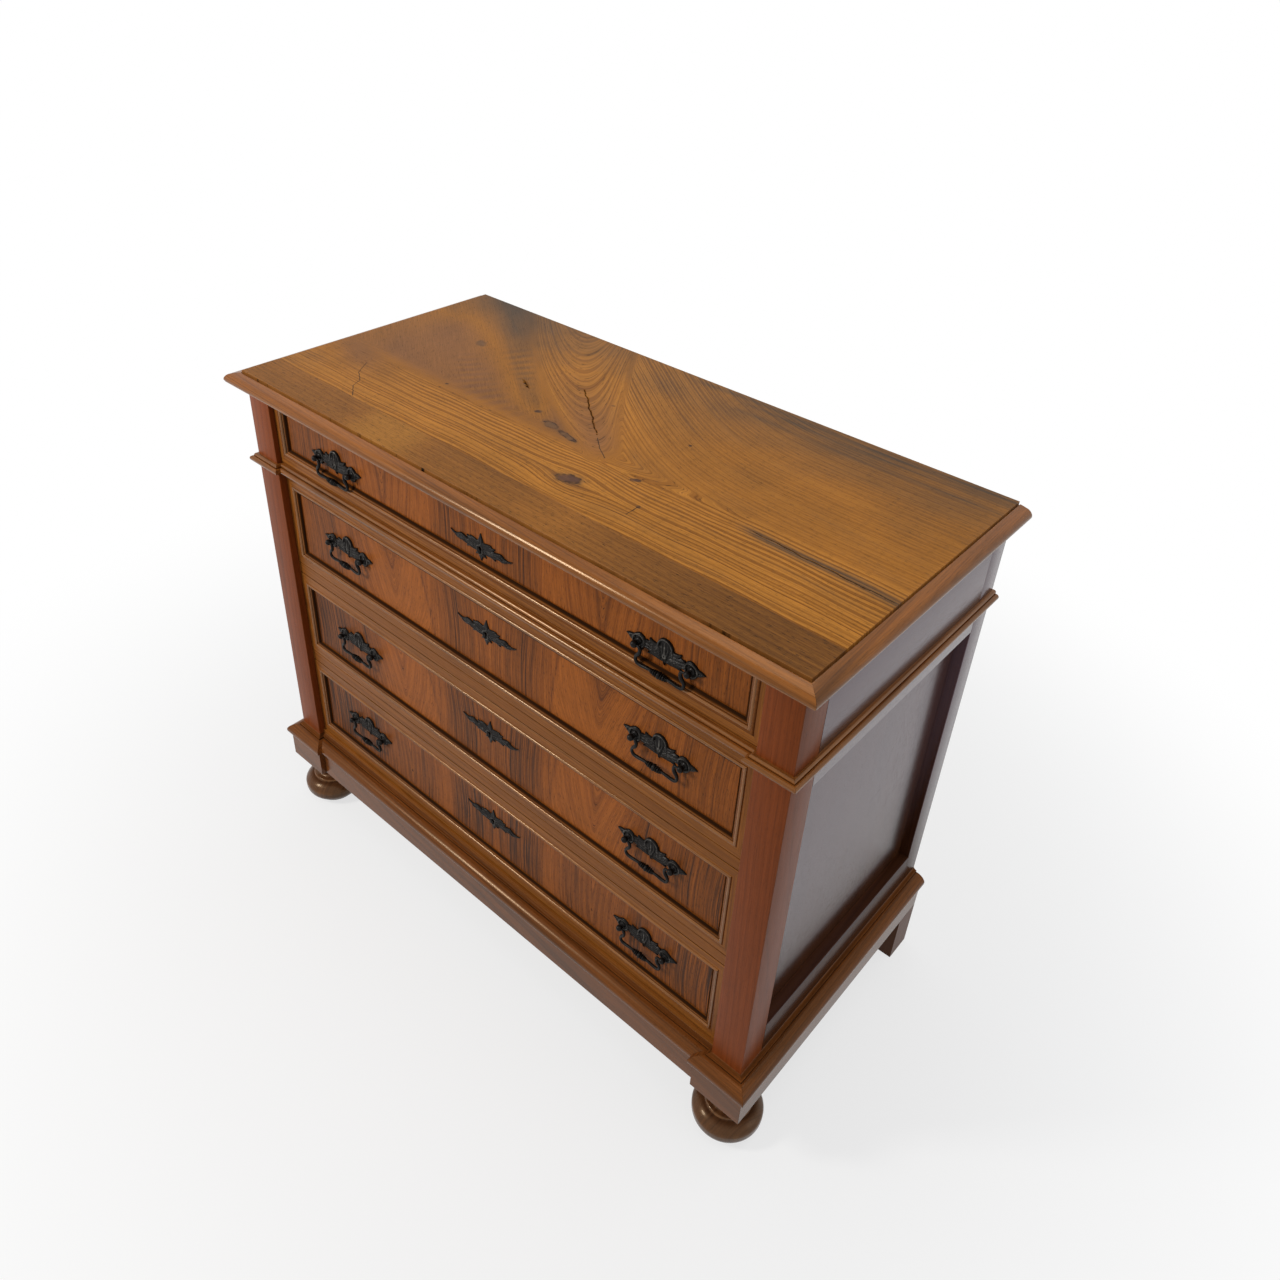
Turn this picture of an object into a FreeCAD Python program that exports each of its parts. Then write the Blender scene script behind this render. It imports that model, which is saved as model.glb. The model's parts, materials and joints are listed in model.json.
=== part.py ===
"""A bachelor's chest in figured walnut, drawn piece by piece at its real size in millimetres.

A framed carcass of corner posts, rails and panels stands on two turned bun feet and two
block feet.  It holds four dovetailed drawers on wooden runners.  Each drawer has a framed
front with a mitred moulding, a lock, an escutcheon and two drop handles.

X runs along the width, +Y towards the back and +Z upwards.  The origin is on the floor,
at the middle of the width and of the depth of the top.
"""
import FreeCAD, Part

import math
import os

from FreeCAD import Placement, Rotation, Vector

DRIVING_SIZES = (
    # the top
    ("top_width", 1120.0),
    ("top_depth", 539.0),
    ("top_thickness", 21.0),
    ("edge_width", 21.5),
    ("front_board_depth", 67.5),
    ("side_overhang", 24.5),
    ("front_overhang", 25.5),
    ("edge_sink", 4.2),
    ("quirk_width", 1.2),
    ("quirk_depth", 1.6),
    # heights of the front, from the floor up
    ("foot_height", 98.0),
    ("bottom_rail_height", 92.0),
    ("drawer_opening", 176.0),
    ("blade_thickness", 20.0),
    ("waist_rail_thickness", 24.0),
    ("top_drawer_opening", 127.0),
    # posts, rails and panels
    ("post_width", 53.0),
    ("post_depth", 52.0),
    ("back_post_side", 44.0),
    ("front_recess", 12.5),
    ("waist_recess", 8.5),
    ("base_recess", 9.0),
    ("blade_depth", 70.0),
    ("bottom_rail_depth", 26.0),
    ("top_rail_height", 24.0),
    ("top_rail_depth", 50.0),
    ("side_rail_thickness", 30.0),
    ("side_top_rail_height", 183.0),
    ("side_bottom_rail_height", 146.0),
    ("panel_recess", 17.0),
    ("panel_thickness", 8.0),
    ("groove_depth", 8.0),
    ("tenon_length", 20.0),
    ("tenon_thickness", 9.0),
    ("joint_play", 0.1),
    ("back_board_thickness", 8.0),
    ("back_rebate", 12.0),
    ("back_rail_thickness", 22.0),
    ("back_rail_height", 70.0),
    # runners, guides and stops
    ("runner_width", 54.0),
    ("guide_height", 22.0),
    ("kicker_width", 40.0),
    ("stop_width", 40.0),
    ("stop_depth", 28.0),
    ("stop_height", 6.0),
    ("stop_offset", 250.0),
    # mouldings round the waist and the base
    ("waist_height", 16.0),
    ("waist_drop", 17.0),
    ("waist_projection", 11.5),
    ("plinth_height", 83.6),
    ("plinth_flat", 53.0),
    ("plinth_thickness", 18.5),
    ("plinth_projection", 24.0),
    # feet
    ("bun_radius", 56.0),
    ("bun_base_radius", 41.0),
    ("bun_base_height", 8.0),
    ("bun_top", 51.0),
    ("bun_rim_radius", 35.5),
    ("bun_neck_radius", 25.0),
    ("bun_base_round", 2.0),
    ("bun_rim_height", 3.0),
    ("bun_neck_spread", 9.0),
    ("bun_setback", 57.0),
    ("bun_inset", 29.5),
    ("spigot_radius", 12.0),
    ("spigot_length", 30.0),
    ("rear_foot_width", 62.0),
    ("rear_foot_depth", 53.0),
    # drawers
    ("drawer_gap", 1.4),
    ("running_gap", 0.3),
    ("front_thickness", 22.0),
    ("panel_sink", 6.0),
    ("frame_side", 13.5),
    ("frame_rail", 16.5),
    ("top_frame_side", 9.5),
    ("top_frame_rail", 12.0),
    ("bead_width", 12.0),
    ("bead_crest", 2.0),
    ("side_thickness", 12.0),
    ("side_headroom", 9.0),
    ("dovetail_lap", 7.0),
    ("dovetail_slope", 7.0),
    ("bottom_thickness", 7.0),
    ("bottom_lift", 10.0),
    ("bottom_groove", 5.5),
    ("drawer_back_thickness", 12.0),
    ("drawer_back_drop", 8.0),
    ("drawer_tail", 6.0),
    ("back_space", 12.0),
    # locks
    ("lock_width", 64.0),
    ("lock_height", 98.0),
    ("lock_depth", 11.0),
    ("lock_backset", 73.0),
    ("bolt_width", 22.0),
    ("bolt_thickness", 6.0),
    ("bolt_height", 24.0),
    ("bolt_play", 0.4),
    ("bolt_mortise", 10.0),
    ("keyhole_radius", 2.8),
    ("keyhole_slot", 8.0),
    ("keyhole_slot_width", 2.4),
    # handles and escutcheons
    ("handle_inset", 151.5),
    ("handle_below", 82.0),
    ("top_handle_below", 74.6),
    ("plate_width", 125.0),
    ("plate_thickness", 2.5),
    ("post_spacing", 84.0),
    ("post_reach", 10.5),
    ("post_radius", 3.6),
    ("ball_radius", 5.0),
    ("pin_radius", 1.6),
    ("pin_play", 0.06),
    ("bail_radius", 2.5),
    ("bail_neck", 32.0),
    ("bail_half_width", 38.5),
    ("bail_drop", 26.0),
    ("knop_radius", 5.6),
    ("knop_length", 19.0),
    ("knop_collar_width", 1.9),
    ("knop_collar_rise", 1.0),
    ("knop_collar_step", 0.6),
    ("escutcheon_width", 126.0),
    ("escutcheon_height", 45.0),
    ("escutcheon_thickness", 2.0),
)

X_AXIS = Vector(1, 0, 0)
Y_AXIS = Vector(0, 1, 0)
Z_AXIS = Vector(0, 0, 1)
LOWER_DRAWER_TAIL_COUNT = 4
TOP_DRAWER_TAIL_COUNT = 3
TAIL_SHARE_OF_PITCH = 0.7
BACK_BOARD_COUNT = 3
SHOULDER_IN_WIRES = 1.7
CORNER_IN_WIRES = 2.8
STRAIGHT_IN_WIRES = 0.6
SAME_PLACE = 1e-6


class Length:
    """A length that knows both its number and the sheet formula that gives it."""

    def __init__(self, value, formula):
        self.value = value
        self.formula = formula

    def joined(self, sign, other, value):
        """The length made of this one, a sign and another length or number."""
        other_formula = other.formula if isinstance(other, Length) else repr(float(other))
        return Length(value, f"({self.formula} {sign} {other_formula})")

    def __add__(self, other):
        return self.joined("+", other, self.value + number(other))

    def __sub__(self, other):
        return self.joined("-", other, self.value - number(other))

    def __mul__(self, other):
        return self.joined("*", other, self.value * number(other))

    def __truediv__(self, other):
        return self.joined("/", other, self.value / number(other))

    def __neg__(self):
        return self.joined("*", -1.0, -self.value)


def number(length):
    """The plain number of a length or of a number."""
    return length.value if isinstance(length, Length) else float(length)


class Sizes:
    """The driving sizes of the chest, kept in a sheet, and the planes worked out from them."""

    def __init__(self, doc):
        self.sheet = doc.addObject("Spreadsheet::Sheet", "Sizes")
        for row, (alias, value) in enumerate(DRIVING_SIZES, start=1):
            self.sheet.set(f"A{row}", alias)
            self.sheet.set(f"B{row}", str(value))
            self.sheet.setAlias(f"B{row}", alias)
        doc.recompute()
        for alias, _ in DRIVING_SIZES:
            setattr(self, alias, Length(float(self.sheet.get(alias)), f"Sizes.{alias}"))
        self.work_out_planes()

    def work_out_planes(self):
        """Name the planes that the pieces share."""
        self.half_width = self.top_width / 2
        self.back = self.top_depth / 2
        self.nose = -self.back
        self.face = self.nose + self.front_overhang
        self.body = self.half_width - self.side_overhang
        self.opening = self.body - self.post_width
        self.handle_offset = self.opening - self.handle_inset
        self.post_back = self.face + self.post_depth
        self.rear_post_front = self.back - self.back_post_side
        self.base_top = self.foot_height + self.bottom_rail_height
        self.pitch = self.drawer_opening + self.blade_thickness
        self.waist_bottom = self.base_top + self.pitch * 2 + self.drawer_opening
        self.waist_top = self.waist_bottom + self.waist_rail_thickness
        self.underside = self.waist_top + self.top_drawer_opening
        self.top = self.underside + self.top_thickness
        self.board_half = self.half_width - self.edge_width
        self.board_front = self.nose + self.edge_width
        self.board_joint = self.board_front + self.front_board_depth
        self.panel_face = self.body - self.panel_recess
        self.panel_inside = self.panel_face - self.panel_thickness
        self.rail_inside = self.body - self.side_rail_thickness
        self.panel_bottom = self.foot_height + self.side_bottom_rail_height
        self.panel_top = self.underside - self.side_top_rail_height
        self.back_board_front = self.back - self.back_board_thickness
        self.back_rail_front = self.back_board_front - self.back_rail_thickness
        self.top_rail_front = self.face + self.waist_recess + self.front_thickness + self.drawer_gap
        self.top_rail_bottom = self.underside - self.top_rail_height
        self.bun_centre_x = self.body - self.bun_inset
        self.bun_centre_y = self.nose + self.bun_setback


class Model:
    """The document, its sizes and the list of finished nodes."""

    def __init__(self):
        self.doc = FreeCAD.newDocument("bachelors_chest")
        self.sizes = Sizes(self.doc)
        self.nodes = []

    def finish_node(self, obj, label):
        """Give an object its node's name and list it for writing."""
        obj.Label = label
        self.nodes.append(obj)
        return obj

    def board(self, name, low, high):
        """A squared board between two corners, each a triple of lengths."""
        box = self.doc.addObject("Part::Box", name)
        for axis, side in enumerate(("Length", "Width", "Height")):
            box.setExpression(side, (high[axis] - low[axis]).formula)
            box.setExpression("Placement.Base." + "xyz"[axis], low[axis].formula)
        return box

    def grown_board(self, name, low, high, play):
        """The board's own housing: the same corners, moved apart by the play."""
        return self.board(name, [c - play for c in low], [c + play for c in high])

    def cylinder(self, name, radius, height, base, rotation=None):
        """A round bar standing on a base point, turned by a rotation."""
        bar = self.doc.addObject("Part::Cylinder", name)
        if rotation is not None:
            bar.Placement = Placement(Vector(), rotation)
        bar.setExpression("Radius", radius.formula)
        bar.setExpression("Height", height.formula)
        for axis in range(3):
            bar.setExpression("Placement.Base." + "xyz"[axis], base[axis].formula)
        return bar

    def cut(self, name, base, tools):
        """A piece with housings taken out of it one after another."""
        result = base
        for index, tool in enumerate(tools):
            step = self.doc.addObject("Part::Cut", f"{name}_cut_{index + 1}")
            step.Base = result
            step.Tool = tool
            result = step
        return result

    def fuse(self, name, pieces):
        """Several blocks of one piece of wood joined to one solid."""
        joined = self.doc.addObject("Part::MultiFuse", name)
        joined.Shapes = pieces
        joined.Refine = True
        return joined

    def group(self, name, pieces):
        """Separate solids that share one node."""
        together = self.doc.addObject("Part::Compound", name)
        together.Links = pieces
        return together

    def feature(self, name, shape, place=Vector()):
        """A piece whose shape is worked out from the sheet with Part's own functions."""
        piece = self.doc.addObject("Part::Feature", name)
        piece.Shape = shape
        piece.Placement = Placement(place, Rotation())
        return piece


class Outline:
    """A flat outline in a plane with u to the right and v upwards, drawn edge by edge."""

    def __init__(self, u, v):
        self.start = Vector(u, 0, v)
        self.pen = self.start
        self.edges = []

    def line(self, u, v):
        """A straight edge to a point."""
        target = Vector(u, 0, v)
        self.edges.append(Part.LineSegment(self.pen, target).toShape())
        self.pen = target
        return self

    def arc(self, through_u, through_v, u, v):
        """A round edge through one point to another."""
        target = Vector(u, 0, v)
        self.edges.append(Part.Arc(self.pen, Vector(through_u, 0, through_v), target).toShape())
        self.pen = target
        return self

    def face(self):
        """The closed face inside the outline."""
        if (self.pen - self.start).Length > SAME_PLACE:
            self.line(self.start.x, self.start.z)
        return Part.Face(Part.Wire(self.edges))


def mirrored_face(half):
    """A face symmetric about the v axis, from the right half of its outline."""
    left = [edge.mirror(Vector(), X_AXIS) for edge in half.edges]
    wire = Part.Wire(Part.__sortEdges__(half.edges + left))
    return Part.Face(wire)


def half_space(point, normal, reach):
    """A block that fills one side of a plane, as far as a moulding reaches."""
    block = Part.makeBox(2 * reach, 2 * reach, 2 * reach, Vector(-reach, -reach, 0))
    block.Placement = Placement(point, Rotation(Z_AXIS, normal))
    return block


def mitred_strips(profile, path, upward, closed=False):
    """Moulding strips along a path of straight runs, mitred where two runs meet.

    The profile's u axis points away from the wall that the path follows and its v axis
    points upward; away from the wall is the run's direction crossed with upward.
    """
    corners = path + path[:1] if closed else path
    runs = [(b - a).normalize() for a, b in zip(corners, corners[1:])]
    reach = 3 * max(profile.BoundBox.XMax, profile.BoundBox.ZMax)
    strips = []
    for index, run in enumerate(runs):
        first, last = corners[index], corners[index + 1]
        before = runs[index - 1] if closed or index > 0 else None
        after = runs[(index + 1) % len(runs)] if closed or index < len(runs) - 1 else None
        start = first - run * (reach if before else 0)
        length = (last - first).Length + (reach if before else 0) + (reach if after else 0)
        section = profile.copy()
        outward = run.cross(upward)
        section.Placement = Placement(start, Rotation(outward, run, upward, "XYZ"))
        strip = section.extrude(run * length)
        block_size = 4 * reach + length
        if before:
            strip = strip.cut(half_space(first, -(before + run), block_size))
        if after:
            strip = strip.cut(half_space(last, run + after, block_size))
        strips.append(strip)
    return strips


def build_top(model):
    """The flat top: a main board, a front board and a mitred edge moulding on three sides."""
    s = model.sizes
    board = model.board("top_board_blank", (-s.board_half, s.board_joint, s.underside),
                        (s.board_half, s.back, s.top))
    model.finish_node(model.cut("top_board", board, []), "top_board")
    front = model.board("top_front_blank", (-s.board_half, s.board_front, s.underside),
                        (s.board_half, s.board_joint, s.top))
    mortise = bolt_mortise(model, "top_drawer", s.underside, s.face + s.waist_recess)
    model.finish_node(model.cut("top_front_board", front, [mortise]), "top_front_board")
    width, height = s.edge_width.value, s.top_thickness.value
    quirk_width, quirk_depth = s.quirk_width.value, s.quirk_depth.value
    crest = height - s.edge_sink.value
    profile = Outline(0, 0)
    profile.line(0.84 * width, 0)
    profile.arc(0.93 * width, 0.05 * height, 0.92 * width, 0.13 * height)
    profile.line(0.99 * width, 0.15 * height)
    profile.line(width, 0.19 * height)
    profile.line(width, 0.3 * height)
    profile.arc(0.84 * width, 0.57 * height, 0.5 * width, 0.72 * height)
    profile.line(quirk_width, crest)
    profile.line(quirk_width, crest - quirk_depth)
    profile.line(0, crest - quirk_depth)
    half, front_y, back_y = s.board_half.value, s.board_front.value, s.back.value
    level = s.underside.value
    path = [Vector(-half, back_y, level), Vector(-half, front_y, level),
            Vector(half, front_y, level), Vector(half, back_y, level)]
    strips = mitred_strips(profile.face(), path, Z_AXIS)
    model.finish_node(model.feature("edge_strips", Part.makeCompound(strips)), "top_edge_moulding")


def front_rail(model, name, low, high, tenon_low, tenon_high):
    """A rail between the front posts with a tenon at each end, and the housing it needs."""
    s = model.sizes
    rail = model.board(f"{name}_rail", low, high)
    reach = s.opening + s.tenon_length
    low_corner = (-reach, tenon_low[0], tenon_low[1])
    high_corner = (reach, tenon_high[0], tenon_high[1])
    tenon = model.board(f"{name}_tenon", low_corner, high_corner)
    housing = model.grown_board(f"{name}_housing", low_corner, high_corner, s.joint_play)
    return model.fuse(f"{name}_blank", [rail, tenon]), housing


def drawer_stops(model, name, front, bottom, top):
    """Two small blocks that the closed drawer's front comes up against."""
    s = model.sizes
    stops = []
    for side, centre in (("left", -s.stop_offset), ("right", s.stop_offset)):
        low = (centre - s.stop_width / 2, front, bottom)
        high = (centre + s.stop_width / 2, front + s.stop_depth, top)
        stops.append(model.board(f"{name}_stop_{side}", low, high))
    return stops


def bolt_mortise(model, name, level, plane):
    """The slot in the rail over a drawer that its lock bolt rises into."""
    s = model.sizes
    back = plane + s.front_thickness
    low = (-s.bolt_width / 2 - s.bolt_play * 2, back - s.lock_depth, level)
    high = (s.bolt_width / 2 + s.bolt_play * 2, back, level + s.bolt_mortise)
    return model.board(f"{name}_bolt_mortise", low, high)


def build_front_rails(model):
    """Bottom rail, three drawer blades and the rail under the top; returns their housings."""
    s = model.sizes
    housings = []
    width = s.opening
    tenon_front = s.face + s.post_depth / 2 - s.tenon_thickness
    tenon_back = s.face + s.post_depth / 2 + s.tenon_thickness
    # the bottom rail stands on edge behind the plinth, with its tenons above the feet's spigots
    front = s.face + s.base_recess
    back = front + s.bottom_rail_depth
    blank, housing = front_rail(
        model, "bottom_rail", (-width, front, s.foot_height), (width, back, s.base_top),
        (front + s.bottom_rail_depth / 3, s.foot_height + s.spigot_length + s.groove_depth),
        (back - s.bottom_rail_depth / 3, s.base_top - s.groove_depth * 2))
    lower_plane = s.face + s.front_recess
    stops = drawer_stops(model, "bottom_rail", back, s.base_top - s.blade_thickness,
                         s.base_top + s.stop_height)
    model.finish_node(model.group("bottom_rail_parts", [blank] + stops), "bottom_rail")
    housings.append(housing)
    # blades, numbered from the top down; the first carries the waist moulding
    levels = (
        ("drawer_blade_1", s.waist_bottom, s.waist_rail_thickness, s.face + s.waist_recess),
        ("drawer_blade_2", s.base_top + s.pitch + s.drawer_opening, s.blade_thickness, lower_plane),
        ("drawer_blade_3", s.base_top + s.drawer_opening, s.blade_thickness, lower_plane),
    )
    for label, bottom, thickness, plane in levels:
        top = bottom + thickness
        tenon_low = bottom + (thickness - s.tenon_thickness) / 2
        blank, housing = front_rail(
            model, label, (-width, plane, bottom), (width, plane + s.blade_depth, top),
            (tenon_front, tenon_low), (tenon_back, tenon_low + s.tenon_thickness))
        mortise = bolt_mortise(model, label, bottom, lower_plane)
        blade = model.cut(f"{label}_slotted", blank, [mortise])
        stops = drawer_stops(model, label, plane + s.front_thickness + s.running_gap, top,
                             top + s.stop_height)
        model.finish_node(model.group(f"{label}_parts", [blade] + stops), label)
        housings.append(housing)
    # the rail under the top lies behind the top drawer's front
    front = s.top_rail_front
    tenon_low = s.top_rail_bottom + (s.top_rail_height - s.tenon_thickness) / 2
    blank, housing = front_rail(
        model, "top_front_rail", (-width, front, s.top_rail_bottom),
        (width, front + s.top_rail_depth, s.underside),
        (front + s.running_gap, tenon_low),
        (s.post_back - s.groove_depth, tenon_low + s.tenon_thickness))
    model.finish_node(blank, "top_front_rail")
    housings.append(housing)
    return housings


def build_side(model, side, label):
    """One side's rails and panel; returns the rails, the panel and the post housings."""
    s = model.sizes

    def span(near, far):
        """The x range between two distances from the middle, on this side."""
        return (near, far) if side > 0 else (-far, -near)

    rail_x = span(s.rail_inside, s.body)
    panel_x = span(s.panel_inside, s.panel_face)
    middle = s.body - s.panel_recess / 2
    tenon_x = span(middle - s.tenon_thickness / 2, middle + s.tenon_thickness / 2)
    front, back = s.post_back, s.rear_post_front
    panel_low = (panel_x[0], front - s.groove_depth, s.panel_bottom - s.groove_depth)
    panel_high = (panel_x[1], back + s.groove_depth, s.panel_top + s.groove_depth)
    panel_housing = model.grown_board(f"panel_housing_{label}", panel_low, panel_high, s.joint_play)
    rails = []
    housings = [panel_housing]
    levels = (
        ("lower", s.foot_height, s.panel_bottom, s.panel_bottom - s.groove_depth * 2),
        ("upper", s.panel_top, s.underside, s.underside - s.groove_depth * 2),
    )
    for level, bottom, top, tenon_top in levels:
        name = f"side_rail_{level}_{label}"
        rail = model.board(name, (rail_x[0], front, bottom), (rail_x[1], back, top))
        tenon_low = (tenon_x[0], front - s.tenon_length, bottom + s.groove_depth * 2)
        tenon_high = (tenon_x[1], back + s.tenon_length, tenon_top)
        tenon = model.board(f"{name}_tenon", tenon_low, tenon_high)
        housings.append(model.grown_board(f"{name}_housing", tenon_low, tenon_high, s.joint_play))
        blank = model.fuse(f"{name}_blank", [rail, tenon])
        rails.append(model.cut(f"{name}_grooved", blank, [panel_housing]))
    panel = model.board(f"side_panel_blank_{label}", panel_low, panel_high)
    model.finish_node(panel, f"side_panel_{label}")
    return rails, housings, span


def build_carcass(model):
    """Posts, rails and side panels, housed in each other."""
    s = model.sizes
    rail_housings = build_front_rails(model)
    side_rails = []
    back_posts = []
    for side, label in ((-1, "left"), (1, "right")):
        rails, housings, span = build_side(model, side, label)
        side_rails += rails
        post_x = span(s.opening, s.body)
        post = model.board(f"front_post_blank_{label}", (post_x[0], s.face, s.foot_height),
                           (post_x[1], s.post_back, s.underside))
        centre = s.bun_centre_x if side > 0 else -s.bun_centre_x
        socket = model.cylinder(
            f"spigot_socket_{label}", s.spigot_radius + s.joint_play,
            s.spigot_length + s.joint_play, (centre, s.bun_centre_y, s.foot_height))
        tools = rail_housings + housings + [socket]
        post = model.cut(f"front_post_{label}", post, tools)
        model.finish_node(post, f"front_post_{label}")
        rear_x = span(s.body - s.back_post_side, s.body)
        rear = model.board(f"back_post_blank_{label}", (rear_x[0], s.rear_post_front, s.foot_height),
                           (rear_x[1], s.back, s.underside))
        inner = s.body - s.back_post_side
        rebate_x = span(inner, inner + s.back_rebate)
        rebate = model.board(f"back_rebate_{label}",
                             (rebate_x[0], s.back_board_front, s.foot_height),
                             (rebate_x[1], s.back, s.underside))
        back_posts.append(model.cut(f"back_post_{label}", rear, housings + [rebate]))
    model.finish_node(model.group("side_rails_parts", side_rails), "side_rails")
    model.finish_node(model.group("back_posts_parts", back_posts), "back_posts")


def build_back(model):
    """Two rails between the rear posts, and the boards nailed into the rebates."""
    s = model.sizes
    inner = s.body - s.back_post_side
    rails = []
    for name, bottom in (("lower", s.foot_height), ("upper", s.underside - s.back_rail_height)):
        rails.append(model.board(f"back_rail_{name}", (-inner, s.back_rail_front, bottom),
                                 (inner, s.back_board_front, bottom + s.back_rail_height)))
    model.finish_node(model.group("back_rails_parts", rails), "back_rails")
    outer = inner + s.back_rebate
    width = outer * 2 / BACK_BOARD_COUNT
    boards = []
    for index in range(BACK_BOARD_COUNT):
        left = -outer + width * index
        boards.append(model.board(f"back_board_{index + 1}", (left, s.back_board_front, s.foot_height),
                                  (left + width, s.back, s.underside)))
    model.finish_node(model.group("back_boards_parts", boards), "back_boards")


def build_runners(model):
    """A runner with its guide on each side under every drawer, and kickers over the top one."""
    s = model.sizes
    lower_back = s.face + s.front_recess + s.blade_depth
    base_back = s.face + s.base_recess + s.bottom_rail_depth
    waist_back = s.face + s.waist_recess + s.blade_depth
    levels = (
        (1, s.waist_top, waist_back),
        (2, s.base_top + s.pitch * 2, lower_back),
        (3, s.base_top + s.pitch, lower_back),
        (4, s.base_top, base_back),
    )
    runners = []
    kickers = []
    for side, label in ((-1, "left"), (1, "right")):
        def span(near, far):
            """The x range between two distances from the middle, on this side."""
            return (near, far) if side > 0 else (-far, -near)

        for drawer, top, front in levels:
            run_x = span(s.rail_inside - s.runner_width, s.rail_inside)
            guide_x = span(s.opening, s.rail_inside)
            name = f"runner_{drawer}_{label}"
            guide_front = s.post_back
            slab = model.board(f"{name}_slab", (run_x[0], front, top - s.blade_thickness),
                               (run_x[1], s.rear_post_front, top))
            guide = model.board(f"{name}_guide", (guide_x[0], guide_front, top - s.blade_thickness),
                                (guide_x[1], s.rear_post_front, top + s.guide_height))
            blank = model.fuse(f"{name}_blank", [slab, guide])
            post_room = model.board(f"{name}_post_room",
                                    (guide_x[0], s.face, top - s.blade_thickness),
                                    (guide_x[1], s.post_back, top + s.guide_height))
            runners.append(model.cut(name, blank, [post_room]))
        kick_x = span(s.rail_inside - s.kicker_width, s.rail_inside)
        kickers.append(model.board(
            f"kicker_{label}", (kick_x[0], s.top_rail_front + s.top_rail_depth, s.top_rail_bottom),
            (kick_x[1], s.rear_post_front, s.underside)))
    model.finish_node(model.group("drawer_runners_parts", runners), "drawer_runners")
    model.finish_node(model.group("kickers_parts", kickers), "kickers")


def wrap_path(s, centre_recess, level):
    """The plan of a moulding round the sides, both posts and the set-back middle."""
    body, opening = s.body.value, s.opening.value
    back, face = s.back.value, s.face.value
    middle = face + centre_recess.value
    half = [Vector(body, back, level), Vector(body, face, level),
            Vector(opening, face, level), Vector(opening, middle, level)]
    left = [Vector(-corner.x, corner.y, corner.z) for corner in half]
    return left + half[::-1]


def build_waist(model):
    """The small moulding round the chest between the top drawer and the next."""
    s = model.sizes
    out, rise = s.waist_projection.value, s.waist_height.value
    profile = Outline(0, 0)
    profile.line(0.45 * out, 0.04 * rise)
    profile.arc(0.85 * out, 0.14 * rise, out, 0.44 * rise)
    profile.arc(0.85 * out, 0.62 * rise, 0.6 * out, 0.68 * rise)
    profile.line(0.52 * out, 0.68 * rise)
    profile.line(0.52 * out, 0.74 * rise)
    profile.arc(0.44 * out, 0.92 * rise, 0.26 * out, rise)
    profile.line(0, rise)
    level = s.waist_top.value - s.waist_drop.value
    strips = mitred_strips(profile.face(), wrap_path(s, s.waist_recess, level), Z_AXIS)
    model.finish_node(model.feature("waist_strips", Part.makeCompound(strips)), "waist_moulding")


def build_plinth(model):
    """The base moulding: tall flat boards with a nosed top, broken forward at the posts."""
    s = model.sizes
    flat, rise = s.plinth_flat.value, s.plinth_height.value
    board, nose = s.plinth_thickness.value, s.plinth_projection.value
    crown = rise - flat
    profile = Outline(0, 0)
    profile.line(board, 0)
    profile.line(board, flat)
    profile.arc(0.86 * board, flat + 0.06 * crown, board, flat + 0.13 * crown)
    profile.arc(nose, flat + 0.2 * crown, nose, flat + 0.38 * crown)
    profile.arc(0.74 * nose, flat + 0.65 * crown, 0.3 * nose, flat + 0.76 * crown)
    profile.line(0.24 * nose, flat + 0.76 * crown)
    profile.line(0.24 * nose, flat + 0.87 * crown)
    profile.arc(0.07 * nose, flat + 0.92 * crown, 0, rise)
    level = s.foot_height.value
    strips = mitred_strips(profile.face(), wrap_path(s, s.base_recess, level), Z_AXIS)
    sides = [strips[0], strips[-1]]
    model.finish_node(model.feature("plinth_front_strips", Part.makeCompound(strips[1:-1])),
                      "plinth_front")
    model.finish_node(model.feature("plinth_side_strips", Part.makeCompound(sides)), "plinth_sides")


def revolved_body(model, name, profile, centre):
    """A turned piece: a closed half profile on the XZ plane, revolved about Z."""
    body = model.doc.addObject("PartDesign::Body", name)
    plane = next(p for p in body.Origin.OriginFeatures if p.Role == "XZ_Plane")
    axis = next(a for a in body.Origin.OriginFeatures if a.Role == "Z_Axis")
    sketch = body.newObject("Sketcher::SketchObject", f"{name}_profile")
    sketch.AttachmentSupport = [(plane, "")]
    sketch.MapMode = "FlatFace"
    draw_profile(sketch, profile)
    turned = body.newObject("PartDesign::Revolution", f"{name}_turning")
    turned.Profile = sketch
    turned.ReferenceAxis = (axis, [""])
    turned.Angle = 360.0
    body.Tip = turned
    for axis_name, place in zip("xyz", centre):
        body.setExpression("Placement.Base." + axis_name, place.formula)
    return body


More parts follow.
